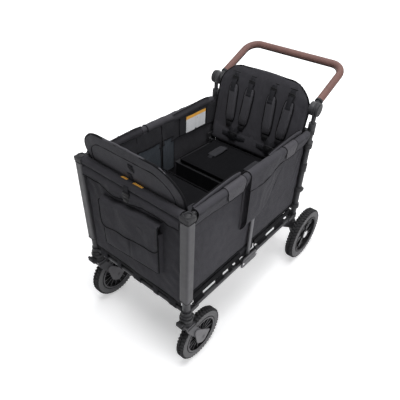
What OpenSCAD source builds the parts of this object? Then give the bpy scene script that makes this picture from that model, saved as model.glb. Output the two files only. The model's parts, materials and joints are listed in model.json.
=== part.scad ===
// Folding stroller wagon: two facing benches in a fabric tub on a four-wheeled folding frame.
// +Z is up, the floor is z = 0, the swivelling wheels and the big pocket are at -Y,
// the push handle is at +Y, and the origin lies under the middle of the whole object.

/* [Frame] */
// Distance between the front and rear posts, centre to centre
post_span = 912; // [860:1:960]
// Distance between the left and right posts, centre to centre
track_w = 600; // [580:1:640]
// Height of the upper side rails
top_rail_z = 894; // [870:1:930]
// Height of the lower side rails
bottom_rail_z = 373; // [360:1:390]
// Diameter of the rear posts
rear_post_d = 30; // [26:1:34]
// Diameter of the front posts
front_post_d = 36; // [30:1:38]
// Diameter of the side rails
rail_d = 24; // [20:1:26]
// Diameter of the cross bars
bar_d = 22; // [18:1:24]
// Diameter of the middle posts
mid_post_d = 20; // [16:1:22]
// Wall of the frame tubes
tube_wall = 2; // [1:0.5:3]

/* [Fold hinges] */
// Distance from a post to the rail pivots beside it
rail_pivot = 34; // [33:1:45]
// Distance from the middle posts to the rail pivots beside them
mid_pivot = 55; // [48:1:65]
// Diameter of the hinge pins
pin_d = 8; // [6:0.5:9]
// Thickness of the flat end of a rail
tongue_t = 6; // [4:0.5:8]
// Thickness of the hinge plates
plate_t = 4; // [3:0.5:5]
// Wall of the clamp rings on the posts
ring_t = 4; // [3:0.5:5]
// Height of the clamp rings
ring_h = 24; // [20:1:30]

/* [Rear wheels] */
// Diameter over the rear tyres
rear_tyre_d = 328; // [300:1:340]
// Width of the rear tyres
rear_tyre_w = 50; // [40:1:54]
// Diameter of the rear tyres' inner edge
rear_rim_d = 236; // [210:1:250]
// Distance of the rear axle behind the rear posts
rear_axle_back = 135; // [120:1:150]
// Distance of the rear wheels' middle plane outside the posts
rear_wheel_out = 30; // [28:1:36]
// Diameter of the rear axle
axle_d = 16; // [12:1:18]
// Diameter of the brake shaft
brake_d = 12; // [10:1:14]

/* [Casters] */
// Diameter over the front tyres
front_tyre_d = 274; // [250:1:280]
// Width of the front tyres
front_tyre_w = 42; // [36:1:46]
// Diameter of the front tyres' inner edge
front_rim_d = 196; // [170:1:210]
// Distance of the front axles behind the swivel pins
caster_trail = 89; // [80:1:100]
// Diameter of the swivel pins
swivel_d = 16; // [12:1:18]
// Diameter of the swivel housings
housing_d = 48; // [46:1:54]
// Diameter of the front axle bolts
front_axle_d = 12; // [10:1:14]

/* [Push handle] */
// Height of the handle's pivot
hub_z = 1010; // [1000:1:1040]
// Diameter of the round pivot hubs
hub_d = 66; // [60:1:72]
// Distance of the pivots behind the rear posts
hub_back = 6; // [0:1:12]
// Length of the handle's arms, pivot to bar centre
handle_len = 312; // [280:1:340]
// Angle of the arms above the horizontal
handle_angle = 25; // [15:1:35]
// Diameter of the handle tube
handle_d = 22; // [18:1:24]
// Diameter over the grip cover
grip_d = 33; // [30:1:36]
// Bend radius of the handle, on its centre line
bend_r = 70; // [60:1:90]
// Diameter of the stems below the hubs
stem_d = 22; // [18:1:24]

/* [Benches] */
// Height of the seat cushions' top edges
seat_z = 690; // [680:1:700]
// Thickness of bench board and cushion together
seat_t = 45; // [40:1:50]
// Distance of the bench boards' sides inside the posts
seat_side_gap = 38; // [36:1:50]
// Distance of the rear bench's front edge behind the middle
rear_seat_edge = 80; // [70:1:100]
// Distance of the front bench's rear edge ahead of the middle
front_seat_edge = 48; // [45:1:70]
// Height of the cushions' crown
seat_crown = 7; // [3:1:9]

/* [Backrests] */
// Lean of the rear backrest
rear_lean = 11; // [8:1:14]
// Lean of the front backrest
front_lean = 16; // [12:1:18]
// Thickness of the backrests in the middle
back_t = 24; // [20:1:28]
// Thickness of the backrests along the edge
back_edge_t = 12; // [8:1:16]
// Length of the rear backrest, from its hinge
rear_back_len = 420; // [400:1:440]
// Length of the front backrest, from its hinge
front_back_len = 386; // [370:1:400]
// Distance of the rear backrest's sides inside the posts
rear_back_gap = 32; // [30:1:50]
// Distance of the front backrest's sides inside the posts
front_back_gap = 25; // [24:1:40]
// Radius of the backrests' upper corners
back_corner_r = 118; // [90:1:130]
// Thickness of the shoulder pads
pad_t = 11; // [8:1:13]

/* [Fabric] */
// Thickness of the fabric walls
wall_t = 3; // [2:0.5:4]
// Height of the fabric's lower hem
hem_z = 408; // [400:1:420]
// Thickness of the fabric sleeve on the front top bar
sleeve_t = 6; // [4:0.5:6]
// Thickness of the fabric sleeves on the side rails
rail_sleeve_t = 3; // [2:0.5:3]
// Width of the front pocket
front_pocket_w = 366; // [320:1:400]
// Depth of the front pocket
front_pocket_depth = 28; // [20:1:30]
// Depth of the side pockets, outside the middle posts
side_pocket_depth = 14; // [8:1:20]
// Length of the side pockets
side_pocket_len = 239; // [200:1:260]

/* [Hidden] */
$fn = 64;
overrun = 1;
fit = 0.05;
gap = 0.4;

half_w = track_w / 2;
rear_ring_d = rear_post_d + 2 * ring_t;
front_ring_d = front_post_d + 2 * ring_t;

// Reach of the object past its posts, and the posts' places about the origin
handle_reach = hub_back + handle_len * cos(handle_angle) + grip_d / 2;
rear_reach = max(rear_axle_back + rear_tyre_d / 2, handle_reach);
panel_out = 8;
flap_t = 5;
front_reach = max(front_tyre_d / 2 - caster_trail, panel_out + front_pocket_depth + flap_t + gap);
rear_y = (post_span + front_reach - rear_reach) / 2;
front_y = rear_y - post_span;
mid_y = rear_y - post_span / 2;

// Posts
rear_post_drop = 25;
rear_post_rise = 26;
rear_post_z0 = bottom_rail_z - rear_post_drop;
rear_post_z1 = top_rail_z + rear_post_rise;
housing_clear = 26;
housing_z0 = front_tyre_d + housing_clear;
housing_h = 58;
housing_z1 = housing_z0 + housing_h;
socket_depth = 33;
front_post_z0 = housing_z1 - socket_depth;
front_post_rise = 16;
front_post_z1 = top_rail_z + front_post_rise;
rear_bar_back = 3;

// Rails and their hinges
tongue_r = 10;
tongue_reach = 16;
tongue_root = 6;
slat_d = 16;
slat_inset_shares = [0.18, 0.86];
clevis_in = tongue_t / 2 + gap;
clevis_out = clevis_in + plate_t;
mid_plate_h = 28;
mid_block_half = 14;
mid_cover_t = 3;
mid_bar_drop = 3;

// Rear legs, axle and brake
leg_t = 18;
leg_x1 = half_w - rear_ring_d / 2 - fit;
leg_x0 = leg_x1 - leg_t;
leg_head_r = 22;
leg_foot_r = 30;
leg_toe_ahead = 96;
leg_toe_drop = 26;
leg_toe_r = 12;
axle_y = rear_y + rear_axle_back;
axle_z = rear_tyre_d / 2;
rear_wheel_x = half_w + rear_wheel_out;
rear_hub_d = 62;
hub_in = 27;
hub_out = 18;
axle_cap_d = 46;
axle_cap_t = 6;
axle_collar_d = 26;
axle_bearing_gap = 0.3;
brake_ahead = 41;
brake_rise = 63;
brake_y = axle_y - brake_ahead;
brake_z = axle_z + brake_rise;
brake_swing = 15;
brake_ring_d = 108;
brake_ring_w = 13;
brake_notches = 24;
notch_w = 7;
notch_depth = 7;
pawl_w = 8;
pawl_t = 8;
pawl_tooth_w = 4;
pawl_gap = 2;
pawl_tip_gap = 2;
pedal_w = 90;
pedal_len = 96;
pedal_t = 8;
pedal_pad_len = 42;

// Casters
front_axle_y = front_y + caster_trail;
front_axle_z = front_tyre_d / 2;
fork_gap = 3;
fork_leg_t = 7;
crown_t = 17;
crown_half = 24;
fork_head_r = 22;
fork_foot_r = 24;
housing_gap = 0.6;
crown_z1 = housing_z0 - housing_gap;
swivel_len = 22;
front_hub_d = 54;
bolt_head_d = 22;
bolt_head_t = 5;
lock_pin_d = 5;
lock_ahead = 31;
lock_rise = 22;
lock_hub_d = 12;
lock_w = 12;
lock_len = 15;
lock_t = 6;
lock_ear_t = 4;

// Wheels
rear_shoulder_r = 14;
rear_rim_t = 12;
rear_spokes = 5;
rear_spoke_w = 15;
rear_spoke_t = 22;
front_shoulder_r = 11;
front_rim_t = 10;
front_spokes = 6;
front_spoke_w = 12;
front_spoke_t = 18;
spoke_fork_share = 0.58;
spoke_fork_angle = 28;

// Push handle
hub_y = rear_y + hub_back;
arm_inset = 15;
arm_x = half_w - arm_inset;
hub_half_t = 20;
hub_lip = 3;
hub_x0 = arm_x - hub_half_t / 2 - hub_lip;
hub_split = half_w - hub_lip;
hub_x1 = hub_split + hub_half_t;
hub_pin_d = 16;
button_d = 30;
button_depth = 13;
button_proud = 3;
button_travel = 4;
collar_t = 4;
collar_d = rear_post_d + 2 * collar_t;
collar_h = 36;
grip_start = 52;

// Benches and backrests
seat_w = track_w - 2 * seat_side_gap;
rear_back_w = track_w - 2 * rear_back_gap;
front_back_w = track_w - 2 * front_back_gap;
bench_board_t = 12;
bench_cushion_gap = 0.3;
bench_hinge_drop = 8;
bench_ear_t = 8;
bench_ear_r = 10;
back_hinge_rise = 10;
back_hinge_z = seat_z + back_hinge_rise;
bench_hinge_z = seat_z - bench_hinge_drop;
bench_gap = 12;
hinge_rod_d = 16;
hinge_rod_w = seat_w;
back_pad_start = 28;

// Centre line of a backrest where it leans on its bar, then its hinge below
rear_off = bar_d / 2 + gap + back_t / 2;
rear_rest_y = rear_y + rear_bar_back - rear_off * cos(rear_lean);
rear_rest_z = top_rail_z + rear_off * sin(rear_lean);
rear_back_y = rear_rest_y - (rear_rest_z - back_hinge_z) * tan(rear_lean);
front_off = bar_d / 2 + sleeve_t + gap + back_t / 2;
front_rest_y = front_y + front_off * cos(front_lean);
front_rest_z = top_rail_z + front_off * sin(front_lean);
front_back_y = front_rest_y + (front_rest_z - back_hinge_z) * tan(front_lean);
rear_bench_y = rear_back_y - back_t / 2 - bench_gap;
front_bench_y = front_back_y + back_t / 2 + bench_gap;
rear_bench_len = rear_bench_y - (mid_y + rear_seat_edge);
front_bench_len = (mid_y - front_seat_edge) - front_bench_y;
bracket_gap = 4;
bracket_x0 = seat_w / 2 + bracket_gap;
bracket_t = 6;
bracket_pin_len = 24;
bracket_h = 46;
bracket_z = (back_hinge_z + bench_hinge_z) / 2;
bracket_end = 12;

// Padded forms: rows along the length, columns across
pad_rows = 14;
pad_cols = 18;
strap_rows = 8;
strap_cols = 6;
side_draw = 5;
corner_sweep = 88;
shoulder_pad_w = 44;
shoulder_pad_len = 250;
shoulder_pad_top = 52;
shoulder_pad_shares = [-0.62, -0.24, 0.24, 0.62];

// Floor
floor_t = 14;
floor_side_gap = 26;
floor_w = track_w - 2 * floor_side_gap;
floor_z0 = bottom_rail_z + slat_d / 2 + gap;
floor_post_gap = 24;
floor_mid_gap = 9;
mid_floor_inset = 6;
mid_floor_half = mid_pivot - mid_floor_inset;
strap_w = 30;
strap_t = 3;
loop_r = 32;

// Fabric
wall_inset = 3;
wall_x1 = half_w - mid_post_d / 2 - wall_inset;
wall_x0 = wall_x1 - wall_t;
wall_post_gap = 6;
wall_split = 0.3;
sleeve_inset = 12;
band_len = 62;
band_t = 1.5;
band_inset_share = 0.3;
band_r = rail_d / 2 + rail_sleeve_t + band_t;
wall_z1 = top_rail_z - sqrt(max(0, pow(band_r + gap, 2) - pow(half_w - wall_x1, 2)));
panel_gap = 2;
panel_half = half_w - front_ring_d / 2 - panel_gap;
panel_z1 = top_rail_z - bar_d / 2 - sleeve_t - gap;
rear_panel_half = half_w - rear_ring_d / 2 - panel_gap;
rear_panel_z1 = top_rail_z - bar_d / 2 - gap;
front_pocket_z0 = 526;
front_pocket_h = 214;
front_pocket_r = 24;
flap_rise = 78;
flap_drop = 52;
flap_over = 4;
side_pocket_ahead = 85;
side_pocket_z0 = 636;
side_pocket_h = 194;

// Front strap and buckle
strap_hold = 66;
web_w = 25;
web_t = 2.5;
buckle_w = 36;
buckle_h = 46;
buckle_t = 11;
buckle_drop = 2;

// Shared shapes

module both_sides() {
    children();
    mirror([1, 0, 0]) children();
}

module rod_x(d, x0, x1, y, z) {
    translate([x0, y, z]) rotate([0, 90, 0]) cylinder(d = d, h = x1 - x0);
}

module rod_y(d, y0, y1, x, z) {
    translate([x, y1, z]) rotate([90, 0, 0]) cylinder(d = d, h = y1 - y0);
}

module rod_z(d, z0, z1, x, y) {
    translate([x, y, z0]) cylinder(d = d, h = z1 - z0);
}

module block(x0, x1, y0, y1, z0, z1) {
    translate([x0, y0, z0]) cube([x1 - x0, y1 - y0, z1 - z0]);
}

module pipe_z(d, z0, z1, x, y) {
    difference() {
        rod_z(d, z0, z1, x, y);
        rod_z(d - 2 * tube_wall, z0 - overrun, z1 + overrun, x, y);
    }
}

module pipe_x(d, x0, x1, y, z) {
    difference() {
        rod_x(d, x0, x1, y, z);
        rod_x(d - 2 * tube_wall, x0 - overrun, x1 + overrun, y, z);
    }
}

// A plate across X whose outline is drawn in (y, z)
module side_plate(x0, t) {
    translate([x0, 0, 0]) rotate([90, 0, 90]) linear_extrude(t) children();
}

module disc_at(y, z, r) {
    translate([y, z]) circle(r = r, $fn = 32);
}

// A padded form: stations are [place along z, half width, fullness], x runs across, y through
function pad_points(stations, cols, edge_t, front_crown, back_crown) = [
    for (side = [0, 1], st = stations, j = [0:cols])
        let (u = 2 * j / cols - 1, full = st[2] * (1 - pow(abs(u), 4)))
        [st[1] * u, side == 0 ? -edge_t / 2 - front_crown * full : edge_t / 2 + back_crown * full, st[0]]];

function pad_faces(rows, cols) =
    let (n = cols + 1, back = rows * n, last = rows - 1)
    concat(
        [for (i = [0:last - 1], j = [0:cols - 1], k = [0, 1])
            let (a = i * n + j, b = a + 1, c = b + n, d = a + n) k == 0 ? [a, d, c] : [a, c, b]],
        [for (i = [0:last - 1], j = [0:cols - 1], k = [0, 1])
            let (a = back + i * n + j, b = a + 1, c = b + n, d = a + n) k == 0 ? [a, b, c] : [a, c, d]],
        [for (i = [0:last - 1], k = [0, 1])
            let (f = i * n, g = f + n) k == 0 ? [back + f, back + g, g] : [back + f, g, f]],
        [for (i = [0:last - 1], k = [0, 1])
            let (f = i * n + cols, g = f + n) k == 0 ? [f, g, back + g] : [f, back + g, back + f]],
        [for (j = [0:cols - 1], k = [0, 1])
            let (f = j, g = j + 1) k == 0 ? [f, g, back + g] : [f, back + g, back + f]],
        [for (j = [0:cols - 1], k = [0, 1])
            let (f = last * n + j, g = f + 1) k == 0 ? [g, f, back + f] : [g, back + f, back + g]]);

module pad(stations, cols, edge_t, front_crown, back_crown) {
    polyhedron(points = pad_points(stations, cols, edge_t, front_crown, back_crown),
        faces = pad_faces(len(stations), cols));
}

// Fullness of a pad along its length: nothing at both ends, full in between
function fullness(share) = 1 - pow(abs(2 * share - 1), 4);

// Rows of a backrest: straight sides drawn in a little, then two round upper corners
function back_stations(length, width) =
    let (side_len = length - back_corner_r - back_pad_start)
    concat(
        [for (i = [0:pad_rows - 1]) let (t = i / pad_rows)
            [back_pad_start + side_len * t, width / 2 - side_draw * sin(180 * t), fullness(t * side_len / length)]],
        [for (i = [0:pad_rows])
            let (a = corner_sweep * i / pad_rows, s = length - back_corner_r + back_corner_r * sin(a))
            [s, width / 2 - back_corner_r * (1 - cos(a)), fullness(s / length)]]);

// Rows of a bench cushion, of a shoulder pad, and of any plain pad
function plain_stations(length, width, rows, draw) = [
    for (i = [0:rows]) let (t = i / rows) [length * t, width / 2 - draw * sin(180 * t), fullness(t)]];

// Post brackets: a clamp ring with two plates that hold a rail's pin
module rail_clevis(post_y, post_d, ring_d, z, dir) {
    pin_y = post_y + dir * rail_pivot;
    difference() {
        union() {
            rod_z(ring_d, z - ring_h / 2, z + ring_h / 2, half_w, post_y);
            for (x = [half_w - clevis_out, half_w + clevis_in]) {
                rod_x(2 * tongue_r, x, x + plate_t, pin_y, z);
                block(x, x + plate_t, min(post_y, pin_y), max(post_y, pin_y), z - tongue_r, z + tongue_r);
            }
        }
        rod_z(post_d + 2 * fit, z - ring_h, z + ring_h, half_w, post_y);
    }
    rod_x(pin_d, half_w - clevis_out, half_w + clevis_out, pin_y, z);
}

// Bench bracket: a clamp ring, an arm and one plate with two pins
module bench_bracket(post_y, post_d, ring_d, bench_y, back_y) {
    z0 = bracket_z - bracket_h / 2;
    z1 = bracket_z + bracket_h / 2;
    tip_y = bench_y + (bench_y < post_y ? -bracket_end : bracket_end);
    difference() {
        union() {
            rod_z(ring_d, z0, z1, half_w, post_y);
            block(bracket_x0, half_w, post_y - ring_t, post_y + ring_t, z0, z1);
            block(bracket_x0, bracket_x0 + bracket_t, min(tip_y, post_y), max(tip_y, post_y), z0, z1);
        }
        rod_z(post_d + 2 * fit, z0 - overrun, z1 + overrun, half_w, post_y);
    }
    rod_x(pin_d, bracket_x0 - bracket_pin_len, bracket_x0, bench_y, bench_hinge_z);
    rod_x(pin_d, bracket_x0 - bracket_pin_len, bracket_x0, back_y, back_hinge_z);
}

// One side rail with a flat bored tongue at each end
module side_rail(y0, y1, z) {
    difference() {
        union() {
            difference() {
                rod_y(rail_d, y0 + tongue_reach, y1 - tongue_reach, half_w, z);
                rod_y(rail_d - 2 * tube_wall, y0, y1, half_w, z);
            }
            for (end = [[y0, 1], [y1, -1]]) {
                root = end[0] + end[1] * (tongue_reach + tongue_root);
                rod_x(2 * tongue_r, half_w - tongue_t / 2, half_w + tongue_t / 2, end[0], z);
                block(half_w - tongue_t / 2, half_w + tongue_t / 2, min(end[0], root), max(end[0], root),
                    z - tongue_r, z + tongue_r);
            }
        }
        for (y = [y0, y1])
            rod_x(pin_d + 2 * fit, half_w - tongue_t, half_w + tongue_t, y, z);
    }
}

// Lower rails: both side rails welded to two cross slats
module lower_rails(y0, y1) {
    both_sides() side_rail(y0, y1, bottom_rail_z);
    for (share = slat_inset_shares)
        difference() {
            rod_x(slat_d, -half_w, half_w, y0 + (y1 - y0) * share, bottom_rail_z);
            both_sides() rod_y(rail_d - tube_wall, y0, y1, half_w, bottom_rail_z);
        }
}

// Fabric sleeve on one side rail, with the wider band that closes round it
module rail_sleeve(y0, y1) {
    s0 = y0 + tongue_reach + sleeve_inset;
    s1 = y1 - tongue_reach - sleeve_inset;
    band_y = s0 + (s1 - s0) * band_inset_share;
    difference() {
        union() {
            rod_y(rail_d + 2 * rail_sleeve_t, s0, s1, half_w, top_rail_z);
            rod_y(2 * band_r, band_y, band_y + band_len, half_w, top_rail_z);
        }
        rod_y(rail_d + 2 * fit, y0, y1, half_w, top_rail_z);
    }
}

// Places a wheel's own frame, whose +Z points away from the wagon
module on_wheel(side, x, y, z) {
    translate([side * x, y, z]) rotate([0, side * 90, 0]) children();
}

// Tyre with a flat tread and round shoulders
module tyre(outer_d, inner_d, width, shoulder_r) {
    rotate_extrude($fn = 96) {
        translate([inner_d / 2, -width / 2]) square([(outer_d - inner_d) / 2 - shoulder_r, width]);
        translate([inner_d / 2, shoulder_r - width / 2])
            square([(outer_d - inner_d) / 2, width - 2 * shoulder_r]);
        for (s = [-1, 1])
            translate([outer_d / 2 - shoulder_r, s * (width / 2 - shoulder_r)]) circle(r = shoulder_r);
    }
}

// Rim with a hub and forked spokes
module rim(rim_d, rim_w, rim_t, hub_dia, hub_z0, hub_z1, spokes, spoke_w, spoke_t, fork_share, fork_angle) {
    fork_r = rim_d / 2 * fork_share;
    branch = (rim_d / 2 - rim_t / 2 - fork_r) / cos(fork_angle);
    difference() {
        cylinder(d = rim_d - 2 * fit, h = rim_w, center = true, $fn = 96);
        cylinder(d = rim_d - 2 * rim_t, h = rim_w + overrun, center = true, $fn = 96);
    }
    translate([0, 0, hub_z0]) cylinder(d = hub_dia, h = hub_z1 - hub_z0);
    for (i = [0:spokes - 1])
        rotate([0, 0, i * 360 / spokes]) {
            translate([0, -spoke_w / 2, -spoke_t / 2]) cube([fork_r + spoke_w / 2, spoke_w, spoke_t]);
            for (s = [-1, 1])
                translate([fork_r, 0, 0]) rotate([0, 0, s * fork_angle])
                    translate([0, -spoke_w / 2, -spoke_t / 2]) cube([branch, spoke_w, spoke_t]);
        }
}

// Rear frame

module rear_posts() {
    color("dimgray") both_sides() pipe_z(rear_post_d, rear_post_z0, rear_post_z1, half_w, rear_y);
}

module rear_bars() {
    color("dimgray") {
        difference() {
            pipe_x(bar_d, -half_w, half_w, rear_y + rear_bar_back, top_rail_z);
            both_sides() rod_z(rear_ring_d + 2 * fit, top_rail_z - ring_h, top_rail_z + ring_h, half_w, rear_y);
        }
        pipe_x(bar_d, -leg_x0, leg_x0, rear_y, bottom_rail_z);
    }
}

module rear_legs() {
    color("dimgray") both_sides() difference() {
        side_plate(leg_x0, leg_t) {
            hull() {
                disc_at(rear_y, bottom_rail_z, leg_head_r);
                disc_at(axle_y, axle_z, leg_foot_r);
            }
            hull() {
                disc_at(rear_y - leg_toe_ahead, bottom_rail_z - leg_toe_drop, leg_toe_r);
                disc_at(brake_y, brake_z, leg_head_r);
            }
        }
        rod_x(axle_d + 2 * fit, leg_x0 - overrun, leg_x1 + overrun, axle_y, axle_z);
        rod_x(brake_d + 2 * fit, leg_x0 - overrun, leg_x1 + overrun, brake_y, brake_z);
    }
}

module rear_axle() {
    end = rear_wheel_x + hub_out + axle_bearing_gap;
    color("silver") {
        rod_x(axle_d, -end, end, axle_y, axle_z);
        both_sides() rod_x(axle_cap_d, end, end + axle_cap_t, axle_y, axle_z);
        both_sides() rod_x(axle_collar_d, leg_x1 + fit, rear_wheel_x - hub_in - axle_bearing_gap, axle_y, axle_z);
    }
}

module rear_brackets() {
    color("black") both_sides() {
        rail_clevis(rear_y, rear_post_d, rear_ring_d, top_rail_z, -1);
        rail_clevis(rear_y, rear_post_d, rear_ring_d, bottom_rail_z, -1);
        bench_bracket(rear_y, rear_post_d, rear_ring_d, rear_bench_y, rear_back_y);
    }
}

module handle_stems() {
    lap_z = top_rail_z + ring_h / 2 + gap;
    color("dimgray") both_sides() difference() {
        union() {
            rod_z(collar_d, lap_z, lap_z + collar_h, half_w, rear_y);
            rod_z(stem_d, rear_post_z1, hub_z, half_w, rear_y);
        }
        rod_z(rear_post_d + 2 * fit, lap_z - overrun, rear_post_z1, half_w, rear_y);
        rod_x(hub_d + 2 * fit, half_w - collar_d, half_w + collar_d, hub_y, hub_z);
    }
}

module handle_hubs() {
    color("black") both_sides() {
        difference() {
            rod_x(hub_d, hub_split, hub_x1, hub_y, hub_z);
            rod_x(button_d + 2 * fit, hub_x1 - button_depth, hub_x1 + overrun, hub_y, hub_z);
        }
        rod_x(hub_pin_d, hub_x0, hub_split, hub_y, hub_z);
    }
}

module rear_panel() {
    color("#2a2a2c") block(-rear_panel_half, rear_panel_half, rear_y + panel_out - wall_t, rear_y + panel_out,
        hem_z, rear_panel_z1);
}

// Side rails, middle posts and floor

module rear_top_rails() {
    color("dimgray") both_sides() side_rail(mid_y + mid_pivot, rear_y - rail_pivot, top_rail_z);
}

module front_top_rails() {
    color("dimgray") both_sides() side_rail(front_y + rail_pivot, mid_y - mid_pivot, top_rail_z);
}

module rear_rail_sleeves() {
    color("#2a2a2c") both_sides() rail_sleeve(mid_y + mid_pivot, rear_y - rail_pivot);
}

module front_rail_sleeves() {
    color("#2a2a2c") both_sides() rail_sleeve(front_y + rail_pivot, mid_y - mid_pivot);
}

module rear_bottom_rails() {
    color("dimgray") lower_rails(mid_y + mid_pivot, rear_y - rail_pivot);
}

module front_bottom_rails() {
    color("dimgray") lower_rails(front_y + rail_pivot, mid_y - mid_pivot);
}

module rear_floor() {
    color("#222224") block(-floor_w / 2, floor_w / 2, mid_y + mid_pivot + floor_mid_gap,
        rear_y - rail_pivot - floor_post_gap, floor_z0, floor_z0 + floor_t);
}

module front_floor() {
    color("#222224") block(-floor_w / 2, floor_w / 2, front_y + rail_pivot + floor_post_gap,
        mid_y - mid_pivot - floor_mid_gap, floor_z0, floor_z0 + floor_t);
}

module mid_posts() {
    bar_z = bottom_rail_z - mid_bar_drop;
    color("gray") {
        both_sides() pipe_z(mid_post_d, bottom_rail_z + mid_plate_h / 2, top_rail_z - mid_plate_h / 2,
            half_w, mid_y);
        pipe_x(mid_post_d, clevis_out - half_w, half_w - clevis_out, mid_y, bar_z);
    }
}

// Upper and lower hinges: two plates on a block, with one pin for each rail
module mid_hinges() {
    color("black") both_sides() for (z = [bottom_rail_z, top_rail_z]) {
        for (x = [half_w - clevis_out, half_w + clevis_in]) {
            block(x, x + plate_t, mid_y - mid_pivot, mid_y + mid_pivot, z - mid_plate_h / 2, z + mid_plate_h / 2);
            for (y = [mid_y - mid_pivot, mid_y + mid_pivot])
                rod_x(mid_plate_h, x, x + plate_t, y, z);
        }
        block(half_w - clevis_out, half_w + clevis_out, mid_y - mid_block_half, mid_y + mid_block_half,
            z - mid_plate_h / 2, z + mid_plate_h / 2);
        for (y = [mid_y - mid_pivot, mid_y + mid_pivot])
            rod_x(pin_d, half_w - clevis_out, half_w + clevis_out + mid_cover_t, y, z);
    }
}

module mid_floor() {
    z0 = bottom_rail_z - mid_bar_drop + mid_post_d / 2 + gap;
    color("#222224") block(-floor_w / 2, floor_w / 2, mid_y - mid_floor_half, mid_y + mid_floor_half,
        z0, floor_z0 + floor_t);
}

module fold_strap() {
    color("#303033") translate([0, mid_y - strap_w / 2, floor_z0 + floor_t + gap])
        rotate([-90, 0, 0]) rotate_extrude(angle = -180) translate([loop_r, 0]) square([strap_t, strap_w]);
}

// Front frame

module front_posts() {
    color("dimgray") both_sides() pipe_z(front_post_d, front_post_z0, front_post_z1, half_w, front_y);
}

module front_bars() {
    color("dimgray") for (z = [bottom_rail_z, top_rail_z])
        difference() {
            pipe_x(bar_d, -half_w, half_w, front_y, z);
            both_sides() rod_z(front_ring_d + 2 * fit, z - ring_h, z + ring_h, half_w, front_y);
        }
}

module front_brackets() {
    color("black") both_sides() {
        rail_clevis(front_y, front_post_d, front_ring_d, top_rail_z, 1);
        rail_clevis(front_y, front_post_d, front_ring_d, bottom_rail_z, 1);
        bench_bracket(front_y, front_post_d, front_ring_d, front_bench_y, front_back_y);
    }
}

// Swivel housings: socket for the post above, bore for the swivel pin below, ears for the lock lever
module caster_housings() {
    ear_x = lock_w / 2 + gap;
    lock_z = housing_z0 + lock_rise;
    color("black") both_sides() {
        difference() {
            union() {
                rod_z(housing_d, housing_z0, housing_z1, half_w, front_y);
                for (x = [half_w - ear_x - lock_ear_t, half_w + ear_x]) {
                    rod_x(lock_hub_d, x, x + lock_ear_t, front_y - lock_ahead, lock_z);
                    block(x, x + lock_ear_t, front_y - lock_ahead, front_y, lock_z - lock_hub_d / 2,
                        lock_z + lock_hub_d / 2);
                }
            }
            rod_z(swivel_d + 2 * fit, housing_z0 - overrun, crown_z1 + swivel_len + overrun, half_w, front_y);
            rod_z(front_post_d + 2 * fit, front_post_z0, housing_z1 + overrun, half_w, front_y);
        }
        rod_x(lock_pin_d, half_w - ear_x - lock_ear_t, half_w + ear_x + lock_ear_t, front_y - lock_ahead, lock_z);
    }
}

// Front wall between the posts and its sleeve round the top bar
module front_panel() {
    color("#2a2a2c") {
        block(-panel_half, panel_half, front_y - panel_out, front_y - panel_out + wall_t, hem_z, panel_z1);
        difference() {
            rod_x(bar_d + 2 * sleeve_t, -panel_half, panel_half, front_y, top_rail_z);
            rod_x(bar_d + 2 * fit, -half_w, half_w, front_y, top_rail_z);
        }
    }
}

// Front pocket: a box with round lower corners under an overhanging flap
module front_pocket() {
    y1 = front_y - panel_out - gap;
    y0 = y1 - front_pocket_depth;
    top = front_pocket_z0 + front_pocket_h;
    w = front_pocket_w;
    color("#262628") {
        translate([0, y1, 0]) rotate([90, 0, 0]) linear_extrude(front_pocket_depth) {
            translate([-w / 2, front_pocket_z0 + front_pocket_r]) square([w, front_pocket_h - front_pocket_r]);
            translate([front_pocket_r - w / 2, front_pocket_z0])
                square([w - 2 * front_pocket_r, front_pocket_h]);
            for (s = [-1, 1])
                translate([s * (w / 2 - front_pocket_r), front_pocket_z0 + front_pocket_r])
                    circle(r = front_pocket_r);
        }
        side_plate(-w / 2 - flap_over, w + 2 * flap_over)
            polygon([[y1, top], [y1, top + flap_rise], [y0 - flap_t, top], [y0 - flap_t, top - flap_drop],
                [y0, top - flap_drop], [y0, top]]);
    }
}

module strap_buckle() {
    z1 = panel_z1 - buckle_drop;
    y1 = front_y - panel_out - gap;
    color("black") block(-buckle_w / 2, buckle_w / 2, y1 - buckle_t, y1, z1 - buckle_h, z1);
}

// Benches

module bench_board(hinge_y, length, dir) {
    z0 = seat_z - seat_t;
    edge_y = hinge_y + dir * length;
    difference() {
        union() {
            block(-seat_w / 2, seat_w / 2, min(hinge_y, edge_y), max(hinge_y, edge_y), z0, z0 + bench_board_t);
            both_sides() {
                block(seat_w / 2 - bench_ear_t, seat_w / 2, hinge_y - bench_ear_r, hinge_y + bench_ear_r,
                    z0, bench_hinge_z);
                rod_x(2 * bench_ear_r, seat_w / 2 - bench_ear_t, seat_w / 2, hinge_y, bench_hinge_z);
            }
        }
        both_sides() rod_x(pin_d + 2 * fit, seat_w / 2 - 2 * bench_ear_t, seat_w / 2 + overrun,
            hinge_y, bench_hinge_z);
    }
}

// Crowned cushion between the board's ears
module bench_cushion(hinge_y, length, dir) {
    t = seat_t - bench_board_t - bench_cushion_gap;
    width = 2 * (bracket_x0 - bracket_pin_len - bracket_gap);
    translate([0, hinge_y, seat_z - t / 2]) rotate([-90, 0, dir > 0 ? 0 : 180])
        pad(plain_stations(length, width, pad_rows, side_draw), pad_cols, t, seat_crown, 0);
}

module rear_bench_board() {
    color("#3a3a3c") bench_board(rear_bench_y, rear_bench_len, -1);
}

module front_bench_board() {
    color("#3a3a3c") bench_board(front_bench_y, front_bench_len, 1);
}

module rear_bench_cushion() {
    color("#242426") bench_cushion(rear_bench_y, rear_bench_len, -1);
}

module front_bench_cushion() {
    color("#242426") bench_cushion(front_bench_y, front_bench_len, 1);
}

// Backrests: a bored rod along the bottom and a padded board above it

module back_hinge(y) {
    difference() {
        rod_x(hinge_rod_d, -hinge_rod_w / 2, hinge_rod_w / 2, y, back_hinge_z);
        both_sides() rod_x(pin_d + 2 * fit, bracket_x0 - bracket_pin_len - overrun, half_w, y, back_hinge_z);
    }
}

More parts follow.
